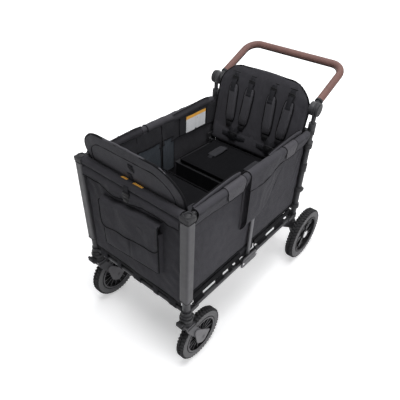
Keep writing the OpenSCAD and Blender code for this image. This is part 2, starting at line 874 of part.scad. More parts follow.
// Places the frame of a backrest: +Z up its slope, -Y out of the face that children lean on
module on_rear_back() {
    translate([0, rear_back_y, back_hinge_z]) rotate([-rear_lean, 0, 0]) children();
}

module on_front_back() {
    translate([0, front_back_y, back_hinge_z]) rotate([0, 0, 180]) rotate([-front_lean, 0, 0]) children();
}

module backrest(length, width) {
    crown = (back_t - back_edge_t) / 2;
    pad(back_stations(length, width), pad_cols, back_edge_t, crown, crown);
}

module shoulder_pads(length, width) {
    crown = (back_t - back_edge_t) / 2;
    for (share = shoulder_pad_shares)
        translate([width / 2 * share, -back_edge_t / 2 - crown * (1 - pow(share, 4)) - gap - pad_t / 2,
            length - shoulder_pad_top - shoulder_pad_len])
            pad(plain_stations(shoulder_pad_len, shoulder_pad_w, strap_rows, 0), strap_cols, pad_t / 2,
                pad_t / 4, pad_t / 4);
}

module rear_back_hinge() {
    color("#3a3a3c") back_hinge(rear_back_y);
}

module front_back_hinge() {
    color("#3a3a3c") back_hinge(front_back_y);
}

module rear_backrest() {
    color("#2c2c2f") on_rear_back() backrest(rear_back_len, rear_back_w);
}

module front_backrest() {
    color("#2c2c2f") on_front_back() backrest(front_back_len, front_back_w);
}

module rear_shoulder_pads() {
    color("#38383b") on_rear_back() shoulder_pads(rear_back_len, rear_back_w);
}

module front_shoulder_pads() {
    color("#38383b") on_front_back() shoulder_pads(front_back_len, front_back_w);
}

// Webbing from the front backrest's outer face, over the front bar, down to the buckle
module front_strap() {
    face = bar_d / 2 + sleeve_t + 2 * gap;
    hold_z = top_rail_z + strap_hold;
    hold_y = front_rest_y - (hold_z - front_rest_z) * tan(front_lean) - (back_t / 2 + gap) / cos(front_lean);
    foot_z = panel_z1 - buckle_drop + gap;
    color("#303033") side_plate(-web_w / 2, web_w)
        polygon([[hold_y, hold_z], [front_y - face, top_rail_z], [front_y - face, foot_z],
            [front_y - face - web_t, foot_z], [front_y - face - web_t, top_rail_z], [hold_y - web_t, hold_z]]);
}

// Push handle

module on_handle() {
    translate([0, hub_y, hub_z]) rotate([handle_angle, 0, 0]) children();
}

// A U-shaped rod in the handle's own plane: two arms, two bends and the cross bar
module handle_u(d, start) {
    for (s = [-1, 1]) {
        rod_y(d, start, handle_len - bend_r, s * arm_x, 0);
        translate([s * (arm_x - bend_r), handle_len - bend_r, 0]) rotate([0, 0, s > 0 ? 0 : 90])
            rotate_extrude(angle = 90) translate([bend_r, 0]) circle(d = d);
    }
    rod_x(d, bend_r - arm_x, arm_x - bend_r, handle_len, 0);
}

module handle_bar() {
    color("#3c3c3f") difference() {
        union() {
            on_handle() handle_u(handle_d, 0);
            both_sides() rod_x(hub_d, hub_x0, hub_split - gap, hub_y, hub_z);
        }
        both_sides() rod_x(hub_pin_d + 2 * fit, hub_x0 - overrun, half_w, hub_y, hub_z);
    }
}

module handle_grip() {
    color("#73504b") on_handle() difference() {
        handle_u(grip_d, grip_start);
        handle_u(handle_d + 2 * fit, grip_start - overrun);
    }
}

module hub_button(side) {
    x0 = hub_x1 - button_depth + button_travel + gap;
    color("#4a4a4d") mirror([side > 0 ? 0 : 1, 0, 0])
        rod_x(button_d, x0, hub_x1 + button_proud, hub_y, hub_z);
}

module hub_button_l() {
    hub_button(-1);
}

module hub_button_r() {
    hub_button(1);
}

// Brake: a shaft across both legs with a toothed pawl at each wheel, and a foot pedal

module on_brake() {
    translate([0, brake_y, brake_z]) rotate([brake_swing, 0, 0]) children();
}

module brake_shaft() {
    x1 = rear_wheel_x - hub_in - pawl_gap;
    x0 = x1 - pawl_w;
    tip_z = brake_ring_d / 2 - notch_depth + pawl_tip_gap - brake_rise;
    color("gray") on_brake() {
        rod_x(brake_d, -x1, x1, 0, 0);
        both_sides() {
            block(x0, x1, 0, brake_ahead + pawl_tooth_w / 2, -pawl_t / 2, pawl_t / 2);
            block(x0, x1, brake_ahead - pawl_tooth_w / 2, brake_ahead + pawl_tooth_w / 2, tip_z, 0);
        }
    }
}

module brake_pedal() {
    sleeve_d = brake_d + 2 * pedal_t;
    color("#303033") on_brake() difference() {
        union() {
            rod_x(sleeve_d, -pedal_w / 2, pedal_w / 2, 0, 0);
            block(-pedal_w / 4, pedal_w / 4, 0, pedal_len, -pedal_t / 2, pedal_t / 2);
            block(-pedal_w / 2, pedal_w / 2, pedal_len - pedal_pad_len, pedal_len, -pedal_t / 2, pedal_t);
        }
        rod_x(brake_d + 2 * fit, -pedal_w, pedal_w, 0, 0);
    }
}

// Rear wheels

module rear_tyre(side) {
    color("#232325") on_wheel(side, rear_wheel_x, axle_y, axle_z)
        tyre(rear_tyre_d, rear_rim_d, rear_tyre_w, rear_shoulder_r);
}

module rear_rim(side) {
    ring_z0 = -hub_in - brake_ring_w;
    color("#3a3a3c") on_wheel(side, rear_wheel_x, axle_y, axle_z) difference() {
        union() {
            rim(rear_rim_d, rear_tyre_w, rear_rim_t, rear_hub_d, -hub_in, hub_out, rear_spokes, rear_spoke_w,
                rear_spoke_t, spoke_fork_share, spoke_fork_angle);
            translate([0, 0, ring_z0]) cylinder(d = brake_ring_d, h = brake_ring_w);
        }
        translate([0, 0, -hub_in - overrun]) cylinder(d = axle_d + 2 * fit, h = hub_in + hub_out + 2 * overrun);
        translate([0, 0, ring_z0 - overrun])
            cylinder(d = axle_collar_d + 2 * overrun, h = brake_ring_w + overrun);
        for (i = [0:brake_notches - 1])
            rotate([0, 0, i * 360 / brake_notches])
                translate([brake_ring_d / 2 - notch_depth, -notch_w / 2, ring_z0 - overrun])
                    cube([notch_depth + overrun, notch_w, brake_ring_w + overrun]);
    }
}

module rear_tyre_l() {
    rear_tyre(-1);
}

module rear_tyre_r() {
    rear_tyre(1);
}

module rear_rim_l() {
    rear_rim(-1);
}

module rear_rim_r() {
    rear_rim(1);
}

// Casters and front wheels

module caster_fork(side) {
    x_in = front_tyre_w / 2 + fork_gap;
    x_out = x_in + fork_leg_t;
    color("#55565a") translate([side * half_w, 0, 0]) {
        for (x = [-x_out, x_in])
            side_plate(x, fork_leg_t) hull() {
                disc_at(front_y, crown_z1 - fork_head_r, fork_head_r);
                disc_at(front_axle_y, front_axle_z, fork_foot_r);
            }
        block(-x_out, x_out, front_y - crown_half, front_y + crown_half, crown_z1 - crown_t, crown_z1);
        rod_z(swivel_d, crown_z1 - overrun, crown_z1 + swivel_len, 0, front_y);
        rod_x(front_axle_d, -x_out, x_out, front_axle_y, front_axle_z);
        for (x = [-x_out - bolt_head_t, x_out])
            rod_x(bolt_head_d, x, x + bolt_head_t, front_axle_y, front_axle_z);
    }
}

module caster_lock(side) {
    lock_z = housing_z0 + lock_rise;
    lock_y = front_y - lock_ahead;
    color("#55565a") translate([side * half_w, 0, 0]) difference() {
        union() {
            rod_x(lock_hub_d, -lock_w / 2, lock_w / 2, lock_y, lock_z);
            block(-lock_w / 2, lock_w / 2, lock_y - lock_len, lock_y, lock_z - lock_t / 2, lock_z + lock_t / 2);
        }
        rod_x(lock_pin_d + 2 * fit, -lock_w, lock_w, lock_y, lock_z);
    }
}

module front_tyre(side) {
    color("#232325") on_wheel(side, half_w, front_axle_y, front_axle_z)
        tyre(front_tyre_d, front_rim_d, front_tyre_w, front_shoulder_r);
}

module front_rim(side) {
    half_hub = front_tyre_w / 2 + fork_gap - axle_bearing_gap;
    color("#3a3a3c") on_wheel(side, half_w, front_axle_y, front_axle_z) difference() {
        rim(front_rim_d, front_tyre_w, front_rim_t, front_hub_d, -half_hub, half_hub, front_spokes,
            front_spoke_w, front_spoke_t, spoke_fork_share, spoke_fork_angle);
        cylinder(d = front_axle_d + 2 * fit, h = 2 * half_hub + 2 * overrun, center = true);
    }
}

module caster_fork_l() {
    caster_fork(-1);
}

module caster_fork_r() {
    caster_fork(1);
}

module caster_lock_l() {
    caster_lock(-1);
}

module caster_lock_r() {
    caster_lock(1);
}

module front_tyre_l() {
    front_tyre(-1);
}

module front_tyre_r() {
    front_tyre(1);
}

module front_rim_l() {
    front_rim(-1);
}

module front_rim_r() {
    front_rim(1);
}

// Fabric side walls, in halves that gather when the frame folds, and the outer pockets

module rear_side_walls() {
    color("#2a2a2c") both_sides() block(wall_x0, wall_x1, mid_y + wall_split,
        rear_y - rear_post_d / 2 - wall_post_gap, hem_z, wall_z1);
}

module front_side_walls() {
    color("#2a2a2c") both_sides() block(wall_x0, wall_x1, front_y + front_post_d / 2 + wall_post_gap,
        mid_y - wall_split, hem_z, wall_z1);
}

// Side pockets wrap round the middle posts
module side_pockets() {
    y0 = mid_y - side_pocket_ahead;
    color("#262628") both_sides() difference() {
        block(wall_x1 + gap, half_w + mid_post_d / 2 + side_pocket_depth, y0, y0 + side_pocket_len,
            side_pocket_z0, side_pocket_z0 + side_pocket_h);
        rod_z(mid_post_d + 2 * gap, hem_z, top_rail_z, half_w, mid_y);
    }
}

rear_posts();
rear_bars();
rear_legs();
rear_axle();
rear_brackets();
handle_stems();
handle_hubs();
rear_panel();
rear_top_rails();
rear_rail_sleeves();
rear_bottom_rails();
rear_floor();
mid_posts();
mid_hinges();
mid_floor();
fold_strap();
front_top_rails();
front_rail_sleeves();
front_bottom_rails();
front_floor();
front_posts();
front_bars();
front_brackets();
caster_housings();
front_panel();
front_pocket();
strap_buckle();
rear_bench_board();
rear_bench_cushion();
front_bench_board();
front_bench_cushion();
rear_back_hinge();
rear_backrest();
rear_shoulder_pads();
front_back_hinge();
front_backrest();
front_shoulder_pads();
front_strap();
handle_bar();
handle_grip();
hub_button_l();
hub_button_r();
brake_shaft();
brake_pedal();
rear_tyre_l();
rear_tyre_r();
rear_rim_l();
rear_rim_r();
caster_fork_l();
caster_fork_r();
caster_lock_l();
caster_lock_r();
front_tyre_l();
front_tyre_r();
front_rim_l();
front_rim_r();
rear_side_walls();
front_side_walls();
side_pockets();
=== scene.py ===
import json
from math import cos, exp, hypot, pi, radians, sin, sqrt

import bmesh
import bpy
import numpy as np
from mathutils import Matrix, Vector


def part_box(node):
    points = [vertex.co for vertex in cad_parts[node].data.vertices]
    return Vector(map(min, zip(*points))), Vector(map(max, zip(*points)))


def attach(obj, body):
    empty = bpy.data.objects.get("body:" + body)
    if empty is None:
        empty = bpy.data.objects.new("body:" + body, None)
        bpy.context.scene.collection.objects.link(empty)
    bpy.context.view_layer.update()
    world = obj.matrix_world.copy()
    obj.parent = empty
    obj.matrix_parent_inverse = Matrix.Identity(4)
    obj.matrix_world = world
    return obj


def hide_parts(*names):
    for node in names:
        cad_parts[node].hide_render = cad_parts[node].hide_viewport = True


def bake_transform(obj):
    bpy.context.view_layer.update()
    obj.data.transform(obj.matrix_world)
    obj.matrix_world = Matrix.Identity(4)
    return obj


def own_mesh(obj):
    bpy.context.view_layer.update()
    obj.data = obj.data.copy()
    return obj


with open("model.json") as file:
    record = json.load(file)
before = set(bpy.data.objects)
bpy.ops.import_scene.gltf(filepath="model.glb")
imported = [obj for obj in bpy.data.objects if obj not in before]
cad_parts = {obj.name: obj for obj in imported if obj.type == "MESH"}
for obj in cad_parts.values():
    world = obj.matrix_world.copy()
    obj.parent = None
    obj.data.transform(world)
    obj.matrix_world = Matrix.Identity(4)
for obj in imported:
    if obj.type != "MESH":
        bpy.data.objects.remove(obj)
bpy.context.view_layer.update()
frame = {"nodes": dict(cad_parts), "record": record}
S = bpy.context.scene
S.view_settings.view_transform = "Standard"

# Places shared with the CAD. Forms are in millimetres until mesh_of() makes metres of them.
RY, FY = 327.366, -584.634  # rear and front posts
MY = (RY + FY) / 2  # middle posts
HW, TZ, BZ = 300.0, 894.0, 373.0  # posts from the middle plane, upper and lower rails
SEAT_Z = 690.0
HUB_Y, HUB_Z = RY + 6, 1010.0
HANDLE_ANGLE, HANDLE_LEN, ARM_X, BEND_R = 25.0, 312.0, 285.0, 70.0
REAR_BACK_Y, FRONT_BACK_Y, BACK_Z = 268.818, -498.421, 700.0
REAR_BENCH_Y, FRONT_BENCH_Y = 244.818, -474.421
AXLE = (330.0, 462.366, 164.0)
FRONT_AXLE = (300.0, -495.634, 137.0)
OUT, BACKWARD, FORWARD, UP = (1, 0, 0), (0, 1, 0), (0, -1, 0), (0, 0, 1)

# Camera and light, in metres and radians
CAMERA_AT, YAW, PITCH, ROLL = (1.0244, -1.4214, 1.8003), 0.6518574, 0.6600113, 0.0556560
LENS, SENSOR, LENS_SHIFT = 36.54, 36.0, (-0.0198, 0.0215)
LAMP_AIM = Vector((0, -0.1, 0.5))
LAMPS = (("key", (0.3, -0.55, 4.2), 2.2, 140), ("side", (3.9, -0.3, 2.1), 2.4, 72),
         ("back", (-1.2, 3.8, 3.2), 2.4, 45))  # name, place, size, watts
WHITE, FILL, FILL_LEVEL = (1, 1, 1, 1), (0.95, 0.97, 1, 1), 0.14
FLOOR_HALF, FLOOR_COLOUR = 30, (0.86, 0.86, 0.87, 1)
GLOW = {"From Min": 0.9, "From Max": 2.6, "To Min": 0.42, "To Max": 1.0}  # the floor pales with distance


def linked(name, data):
    ob = bpy.data.objects.new(name, data)
    S.collection.objects.link(ob)
    return ob


def feed(nt, n, inputs):
    """Each input takes a value, or a socket to link from."""
    for key, x in inputs.items():
        if isinstance(x, bpy.types.NodeSocket):
            nt.links.new(x, n.inputs[key])
        else:
            n.inputs[key].default_value = x
    return n


def node(nt, kind, inputs=None, **props):
    n = nt.nodes.new("ShaderNode" + kind)
    for key, x in props.items():
        setattr(n, key, x)
    return feed(nt, n, inputs or {})


def white_rays(nt):
    """1 for rays that see the background straight, in a reflection or through something clear."""
    path = node(nt, "LightPath").outputs
    top = path["Is Camera Ray"]
    for name in ("Is Glossy Ray", "Is Transmission Ray"):
        top = node(nt, "Math", {0: top, 1: path[name]}, operation="MAXIMUM").outputs[0]
    return top


def make_stage():
    right = Vector((cos(YAW), sin(YAW), 0))
    back = Vector((sin(YAW) * cos(PITCH), -cos(YAW) * cos(PITCH), sin(PITCH)))
    up = back.cross(right)
    across, upright = right * cos(ROLL) + up * sin(ROLL), up * cos(ROLL) - right * sin(ROLL)
    m = Matrix((across, upright, back)).transposed().to_4x4()
    m.translation = CAMERA_AT
    cam = linked("camera", bpy.data.cameras.new("camera"))
    cam.matrix_world = m
    cam.data.lens, cam.data.sensor_width = LENS, SENSOR
    cam.data.shift_x, cam.data.shift_y = LENS_SHIFT
    S.camera = cam

    for name, place, size, watts in LAMPS:
        lamp = linked(name, bpy.data.lights.new(name, "AREA"))
        lamp.data.size, lamp.data.energy = size, watts
        lamp.location = place
        lamp.rotation_euler = (LAMP_AIM - Vector(place)).to_track_quat("-Z", "Y").to_euler()

    S.world = bpy.data.worlds.new("studio")
    S.world.use_nodes = True
    nt = S.world.node_tree
    nt.nodes.clear()
    fill = node(nt, "Background", {"Color": FILL, "Strength": FILL_LEVEL}).outputs[0]
    seen = node(nt, "Background", {"Color": WHITE}).outputs[0]
    sky = node(nt, "MixShader", {0: white_rays(nt), 1: fill, 2: seen}).outputs[0]
    node(nt, "OutputWorld", {0: sky})

    me = bpy.data.meshes.new("floor")
    h = FLOOR_HALF
    me.from_pydata([(-h, -h, 0), (h, -h, 0), (h, h, 0), (-h, h, 0)], [], [(0, 1, 2, 3)])
    mat = bpy.data.materials.new("floor")
    mat.use_nodes = True
    nt = mat.node_tree
    nt.nodes.clear()
    here = node(nt, "TexCoord").outputs["Object"]
    far = node(nt, "VectorMath", {0: here}, operation="LENGTH").outputs["Value"]
    pale = node(nt, "MapRange", {"Value": far, **GLOW}).outputs[0]
    level = node(nt, "Math", {0: white_rays(nt), 1: pale}, operation="MULTIPLY").outputs[0]
    glow = node(nt, "Emission", {"Color": WHITE, "Strength": level}).outputs[0]
    diffuse = node(nt, "BsdfDiffuse", {"Color": FLOOR_COLOUR}).outputs[0]
    node(nt, "OutputMaterial", {0: node(nt, "AddShader", {0: diffuse, 1: glow}).outputs[0]})
    me.materials.append(mat)
    linked("floor", me)


# Materials

BUMP_DISTANCE = 0.0006
THREAD_SCALE = 314.16  # scale of a wave texture whose bands are 1 mm apart


def material(name, rgb, rough, grain=600.0, height=0.12, spread=0.16, blot=7.0, metallic=0.0, spec=0.4,
             sheen=0.0, weave=0.0, wear=0.0, alpha=1.0, stretch=(1, 1, 1), cells=0.0):
    """Procedural surface: blotchy colour, uneven roughness, a weave or a grain as bump, paler edges."""
    m = bpy.data.materials.new(name)
    m.use_nodes = True
    nt = m.node_tree
    here = node(nt, "TexCoord").outputs["Object"]
    place = node(nt, "Mapping", {"Vector": here, "Scale": stretch}).outputs[0]

    def noise(scale, detail=3.0):
        return node(nt, "TexNoise", {"Vector": place, "Scale": scale, "Detail": detail}).outputs["Fac"]

    def calc(op, a, c):
        return node(nt, "Math", {0: a, 1: c}, operation=op).outputs[0]

    def mixed(fac, a, c):
        return node(nt, "Mix", {0: fac, 6: a, 7: c}, data_type="RGBA").outputs[2]  # the colour sockets

    def ranged(fac, lo, hi, a, c):
        ends = {"From Min": lo, "From Max": hi, "To Min": a, "To Max": c}
        return node(nt, "MapRange", {"Value": fac, **ends}).outputs[0]

    def shade(k, plus=0.0):
        return (*(min(1.0, max(0.0, c * k + plus)) for c in rgb), 1)

    blots = calc("ADD", calc("MULTIPLY", noise(blot), 0.6), calc("MULTIPLY", noise(blot * 9), 0.4))
    colour = mixed(ranged(blots, 0.3, 0.7, 0, 1), shade(1 - spread), shade(1 + spread))
    if wear:
        edge = node(nt, "NewGeometry").outputs["Pointiness"]
        colour = mixed(ranged(edge, 0.515, 0.6, 0, wear), colour, shade(1.5, 0.02))
    if weave:
        threads = {"Vector": here, "Scale": THREAD_SCALE / weave, "Distortion": 0.4}
        x, y, z = (node(nt, "TexWave", threads, bands_direction=axis).outputs["Fac"] for axis in "XYZ")
        relief = calc("ADD", calc("ADD", x, y), z)
        colour = mixed(ranged(relief, 0.8, 2.2, 0.0, 0.5), colour, (*(c * 1.25 for c in rgb), 1))
        relief = calc("ADD", relief, calc("MULTIPLY", noise(grain), 0.5))
    elif cells:
        pores = node(nt, "TexVoronoi", {"Vector": place, "Scale": cells}).outputs["Distance"]
        relief = calc("ADD", calc("MULTIPLY", pores, 0.7), calc("MULTIPLY", noise(grain), 0.5))
    else:
        relief = noise(grain, 4.0)
    bump = node(nt, "Bump", {"Strength": height, "Distance": BUMP_DISTANCE, "Height": relief}).outputs[0]
    uneven = ranged(noise(blot * 3), 0.3, 0.7, max(0.02, rough - 0.06), min(1, rough + 0.06))
    feed(nt, nt.nodes["Principled BSDF"], {
        "Normal": bump, "Base Color": colour, "Roughness": uneven, "Metallic": metallic,
        "Specular IOR Level": spec, "Sheen Weight": sheen, "Sheen Roughness": 0.5, "Alpha": alpha})
    return m


TUB = material("tub_weave", (0.044, 0.043, 0.049), 0.70, weave=1.3, height=0.22, sheen=0.04, spec=0.05)
WALL_IN = material("liner_weave", (0.030, 0.030, 0.034), 0.8, weave=1.3, height=0.3, sheen=0.03,
                   spec=0.08)
PAD = material("pad_weave", (0.042, 0.041, 0.047), 0.72, weave=1.1, height=0.22, sheen=0.04, spec=0.05)
# The pad cloth again, painted lighter for the front backrest: painted light on faces that the lamps leave in shade.
PAD_WITH_PAINTED_LIGHT = material("front_back_weave_painted_light", (0.066, 0.065, 0.072), 0.70, weave=1.1, height=0.22, sheen=0.04,
                spec=0.06)
PADL = material("harness_weave", (0.046, 0.045, 0.051), 0.68, weave=1.1, height=0.25, sheen=0.05,
                spec=0.08)
# Dark cloth, darkened further to match the shade that falls on the benches inside the tub: partly its own colour,
# partly painted shade.
SEAT = material("seat_weave", (0.0072, 0.0072, 0.0082), 0.85, weave=1.1, height=0.3, spec=0.03)
PIPE = material("binding", (0.0075, 0.0075, 0.0085), 0.66, weave=0.8, height=0.4, spec=0.05)
WEB = material("webbing_rib", (0.018, 0.018, 0.021), 0.66, weave=2.2, height=0.7, spec=0.07)
POLY = material("band_weave", (0.052, 0.050, 0.057), 0.62, weave=1.0, height=0.25, sheen=0.06, spec=0.14)
SHEER = material("sheer_mesh", (0.072, 0.082, 0.096), 0.62, weave=2.6, height=0.25, alpha=0.86,
                 spec=0.12)
NET = material("pocket_mesh", (0.026, 0.026, 0.029), 0.66, weave=3.4, height=0.5, alpha=0.94, spec=0.10)
THREAD = material("thread", (0.060, 0.059, 0.065), 0.7, grain=3000, height=0.3, spec=0.15)
# Orange tape, its colour raised to the top to offset the shade that the tabs on the bar lie in: its own orange with
# painted light added.
ORANGE = material("orange_tape", (1.0, 0.48, 0.09), 0.65, weave=1.0, height=0.3, spec=0.2)
PATCH = material("pale_patch", (0.80, 0.81, 0.83), 0.66, weave=0.9, height=0.2, spread=0.05, spec=0.2)
PAINT = material("powder_coat", (0.026, 0.026, 0.029), 0.46, grain=1500, height=0.10, wear=0.35,
                 spec=0.28)
COVER = material("post_cover", (0.054, 0.053, 0.058), 0.44, grain=1500, height=0.1, wear=0.35, spec=0.30)
POST = material("satin_post", (0.115, 0.114, 0.122), 0.40, grain=1200, height=0.08, metallic=0.4,
                wear=0.3, spec=0.35)
PLASTIC = material("moulded_black", (0.020, 0.020, 0.022), 0.52, grain=1800, height=0.16, wear=0.4,
                   spec=0.19)
BUCKLE = material("buckle_black", (0.0050, 0.0050, 0.0060), 0.42, grain=1800, height=0.12, wear=0.3,
                  spec=0.10)
GREY = material("moulded_grey", (0.120, 0.117, 0.124), 0.46, grain=1800, height=0.14, wear=0.3, spec=0.30)
STEEL = material("brushed_steel", (0.52, 0.52, 0.53), 0.3, grain=500, height=0.12, metallic=1.0,
                 stretch=(0.06, 1, 1), spread=0.1)
SILVER = material("silver_trim", (0.20, 0.20, 0.21), 0.42, grain=900, height=0.06, metallic=0.9)
LEATHER = material("leatherette", (0.150, 0.080, 0.070), 0.56, grain=900, cells=520, height=0.4,
                   blot=14, spec=0.25)
RUBBER = material("tyre_rubber", (0.040, 0.040, 0.042), 0.8, grain=700, height=0.22, blot=20,
                  spread=0.22, spec=0.15)
SIDEWALL = material("tyre_sidewall", (0.135, 0.134, 0.138), 0.72, grain=900, height=0.18, blot=16,
                    spread=0.18, spec=0.2)
RIM = material("rim_black", (0.0075, 0.0075, 0.0085), 0.5, grain=1800, height=0.14, wear=0.3, spec=0.12)
# Dark cloth, darkened further to match the deep shade of the footwell: partly its own colour, partly painted shade.
MAT = material("floor_weave", (0.0060, 0.0060, 0.0070), 0.85, weave=1.6, height=0.35, spec=0.03)
BRASSY = material("brown_thread", (0.020, 0.010, 0.009), 0.7, grain=3000, height=0.3, spec=0.15)


# Mesh helpers: a form is (vertices, faces)

def lerp(a, b, t):
    return a + (b - a) * t


def shift(x, y, z):
    return Matrix.Translation((x, y, z))


def turn(degrees, axis, size=4):
    return Matrix.Rotation(radians(degrees), size, axis)


def join(*forms):
    verts, faces = [], []
    for v, f in forms:
        n = len(verts)
        verts += [tuple(p) for p in v]
        faces += [tuple(i + n for i in q) for q in f]
    return verts, faces


def mirrored(points):
    """Points followed by their mirror images in reverse, as one line."""
    return points + [(-x, y, z) for x, y, z in reversed(points)]


def both(form):
    """A form with its mirror image on the other side."""
    v, f = form
    return join(form, ([(-x, y, z) for x, y, z in v], [tuple(reversed(q)) for q in f]))


def moved(form, m):
    return [tuple(m @ Vector(p)) for p in form[0]], form[1]


def mesh_of(name, form):
    me = bpy.data.meshes.new(name)
    me.from_pydata([(x / 1000, y / 1000, z / 1000) for x, y, z in form[0]], [], form[1])
    bm = bmesh.new()
    bm.from_mesh(me)
    bmesh.ops.recalc_face_normals(bm, faces=bm.faces)
    bm.to_mesh(me)
    bm.free()
    return me


# Angles past which an edge shows as one
PUFFED, SOFT, WOVEN, BENT, PLAIN, MOULDED, TREAD, CUT = 80, 70, 60, 40, 38, 36, 34, 30


def add(name, form, mat, body, replaces=(), sharp=PLAIN):
    me = mesh_of(name, form)
    me.polygons.foreach_set("use_smooth", [True] * len(me.polygons))
    me.set_sharp_from_angle(angle=radians(sharp))
    me.materials.append(mat)
    ob = linked(name, me)
    if replaces:
        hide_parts(*replaces)
    if body:
        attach(ob, body)
    return ob


def gather(objects):
    """Gives each piece a mesh of its own."""
    for ob in objects:
        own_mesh(ob)


def unit(v):
    v = np.asarray(v, float)
    return v / np.maximum(np.linalg.norm(v, axis=-1, keepdims=True), 1e-9)


def between(P, Q):
    """A closed form between two grids of points."""
    nu, nv = P.shape[:2]
    k = nu * nv
    faces = []
    for i in range(nu - 1):
        for j in range(nv - 1):
            a = i * nv + j
            b, c, d = a + nv, a + nv + 1, a + 1
            faces += [(a, b, c, d), (d + k, c + k, b + k, a + k)]
    rim = ([i * nv for i in range(nu)] + [(nu - 1) * nv + j for j in range(1, nv)]
           + [i * nv + nv - 1 for i in range(nu - 2, -1, -1)] + list(range(nv - 2, 0, -1)))
    faces += [(b, a, a + k, b + k) for a, b in zip(rim, rim[1:] + rim[:1])]
    return np.concatenate([P.reshape(-1, 3), Q.reshape(-1, 3)]).tolist(), faces


def shell(P, t):
    """A sheet of thickness t behind the grid of outer points."""
    n = unit(np.cross(np.gradient(P, axis=0), np.gradient(P, axis=1)))
    return between(P, P - n * t)


def grid(fn, nu, nv):
    return np.array([[fn(i / (nu - 1), j / (nv - 1)) for j in range(nv)] for i in range(nu)], float)


def crumple(p, q):
    """Soft creases of slack cloth, about -1 to 1, at lengths p and q."""
    a = sin(p / 17 + 1.9 * sin(q / 41 + 0.7)) * sin(q / 24 + 1.3 * sin(p / 37))
    b = sin((p + 0.8 * q) / 12 + 1.6 * sin((p - q) / 31))
    return 0.65 * a + 0.5 * b * abs(b)


def bump_at(x, width):
    """A smooth hump, 1 at 0."""
    return exp(-(x / width) ** 2)


def directions(P, closed=False):
    return unit(np.roll(P, -1, 0) - np.roll(P, 1, 0)) if closed else unit(np.gradient(P, axis=0))


def loft(rings, closed=False):
    """A form through rings of equally many points, with end caps unless the last ring meets the first."""
    n, k = len(rings), len(rings[0])
    faces = [(i * k + j, i * k + (j + 1) % k, (i + 1) % n * k + (j + 1) % k, (i + 1) % n * k + j)
             for i in range(n if closed else n - 1) for j in range(k)]
    if not closed:
        faces += [tuple(range(k - 1, -1, -1)), tuple((n - 1) * k + j for j in range(k))]
    return [tuple(p) for ring in rings for p in ring], faces


def sweep(path, prof, up, closed=False):
    """A profile of (side, up) points carried along a path."""
    P = np.asarray(path, float)
    T = directions(P, closed)
    side = unit(np.cross(T, np.broadcast_to(np.asarray(up, float), P.shape)))
    U = np.cross(side, T)
    return loft([[p + a * s + b * u for a, b in prof] for p, s, u in zip(P, side, U)], closed)


def circle(r, n=12):
    return [(r * cos(2 * pi * i / n), r * sin(2 * pi * i / n)) for i in range(n)]


def band(w, t):
    a, b, c = w / 2, t / 2, min(w, t) * 0.3
    return [(a - c, -b), (a, -b + c), (a, b - c), (a - c, b), (c - a, b), (-a, b - c), (-a, c - b), (c - a, -b)]


def walk(path, step, closed=False):
    """Points at equal steps along a path."""
    P = np.asarray(path, float)
    if closed:
        P = np.vstack([P, P[:1]])
    d = np.concatenate([[0], np.cumsum(np.linalg.norm(np.diff(P, axis=0), axis=1))])
    s = np.linspace(0, d[-1], max(2, int(round(d[-1] / step)) + 1))
    out = np.stack([np.interp(s, d, P[:, i]) for i in range(3)], 1)
    return out[:-1] if closed else out


def smooth_path(points, step=6.0):
    P = np.asarray(points, float)
    for _ in range(3):
        a, b = P[:-1] * 0.75 + P[1:] * 0.25, P[:-1] * 0.25 + P[1:] * 0.75
        P = np.vstack([P[:1], np.stack([a, b], 1).reshape(-1, 3), P[-1:]])
    return walk(P, step)


def strap(points, w, t, up, step=6.0):
    """Flat webbing along a smoothed path."""
    return sweep(smooth_path(points, step), band(w, t), up)


def tube(path, r, n=8, closed=False):
    P = np.asarray(path, float)
    T = directions(P, closed)
    u = np.array([0, 0, 1.0]) if abs(T[0][2]) < 0.8 else np.array([0, 1.0, 0])
    ups = []
    for t in T:
        u = unit(u - t * np.dot(u, t))
        ups.append(u)
    return sweep(P, circle(r, n), np.array(ups), closed)


def piping(path, r, step=6):
    return tube(walk(path, step), r)


def hoop(c, x, r, thick, n=8):
    """A ring about X, x away from the centre."""
    return tube([(c[0] + x, c[1] + a, c[2] + b) for a, b in circle(r, 72)], thick, n, True)


def stitches(path, normal, step=5.2, length=3.4, w=0.9, lift=0.5):
    """Short raised thread dashes along a path."""
    P = walk(path, step)
    N = np.asarray(normal, float)
    if N.ndim == 2:
        N = N[np.linspace(0, len(N) - 1, len(P)).round().astype(int)]
    forms = []
    for p, t, n in zip(P, directions(P), unit(np.broadcast_to(N, P.shape))):
        a, b = t * length / 2, unit(np.cross(t, n)) * w / 2
        dash = [p - a - b, p + a - b, p + a + b, p - a + b, p - a * 0.7 + n * lift, p + a * 0.7 + n * lift]
        forms.append((dash, [(3, 2, 1, 0), (0, 1, 5, 4), (2, 3, 4, 5), (1, 2, 5), (3, 0, 4)]))
    return join(*forms)


def rbox(centre, size, r=2.0, seg=2, rot=None):
    """A box with rounded edges."""
    bm = bmesh.new()
    bmesh.ops.create_cube(bm, size=1.0)
    for v in bm.verts:
        v.co = Vector((v.co.x * size[0], v.co.y * size[1], v.co.z * size[2]))
    bmesh.ops.bevel(bm, geom=bm.edges[:], offset=r, segments=seg, profile=0.5, affect="EDGES", clamp_overlap=True)
    m = shift(*centre) @ (rot.to_4x4() if rot else Matrix.Identity(4))
    verts = [tuple(m @ v.co) for v in bm.verts]
    bm.verts.index_update()
    faces = [tuple(v.index for v in f.verts) for f in bm.faces]
    bm.free()
    return verts, faces


def plate(outline, x0, x1, bevel=1.5):
    """A plate across X from an outline in (y, z), with a small chamfer on both faces."""
    pts = np.asarray(outline, float)
    mid = pts.mean(0)
    inner = mid + (pts - mid) * (1 - bevel / max(1.0, np.abs(pts - mid).max()))
    s = 1 if x1 > x0 else -1
    rings = [(x0, inner), (x0 + s * bevel, pts), (x1 - s * bevel, pts), (x1, inner)]
    return loft([[(x, y, z) for y, z in ring] for x, ring in rings])


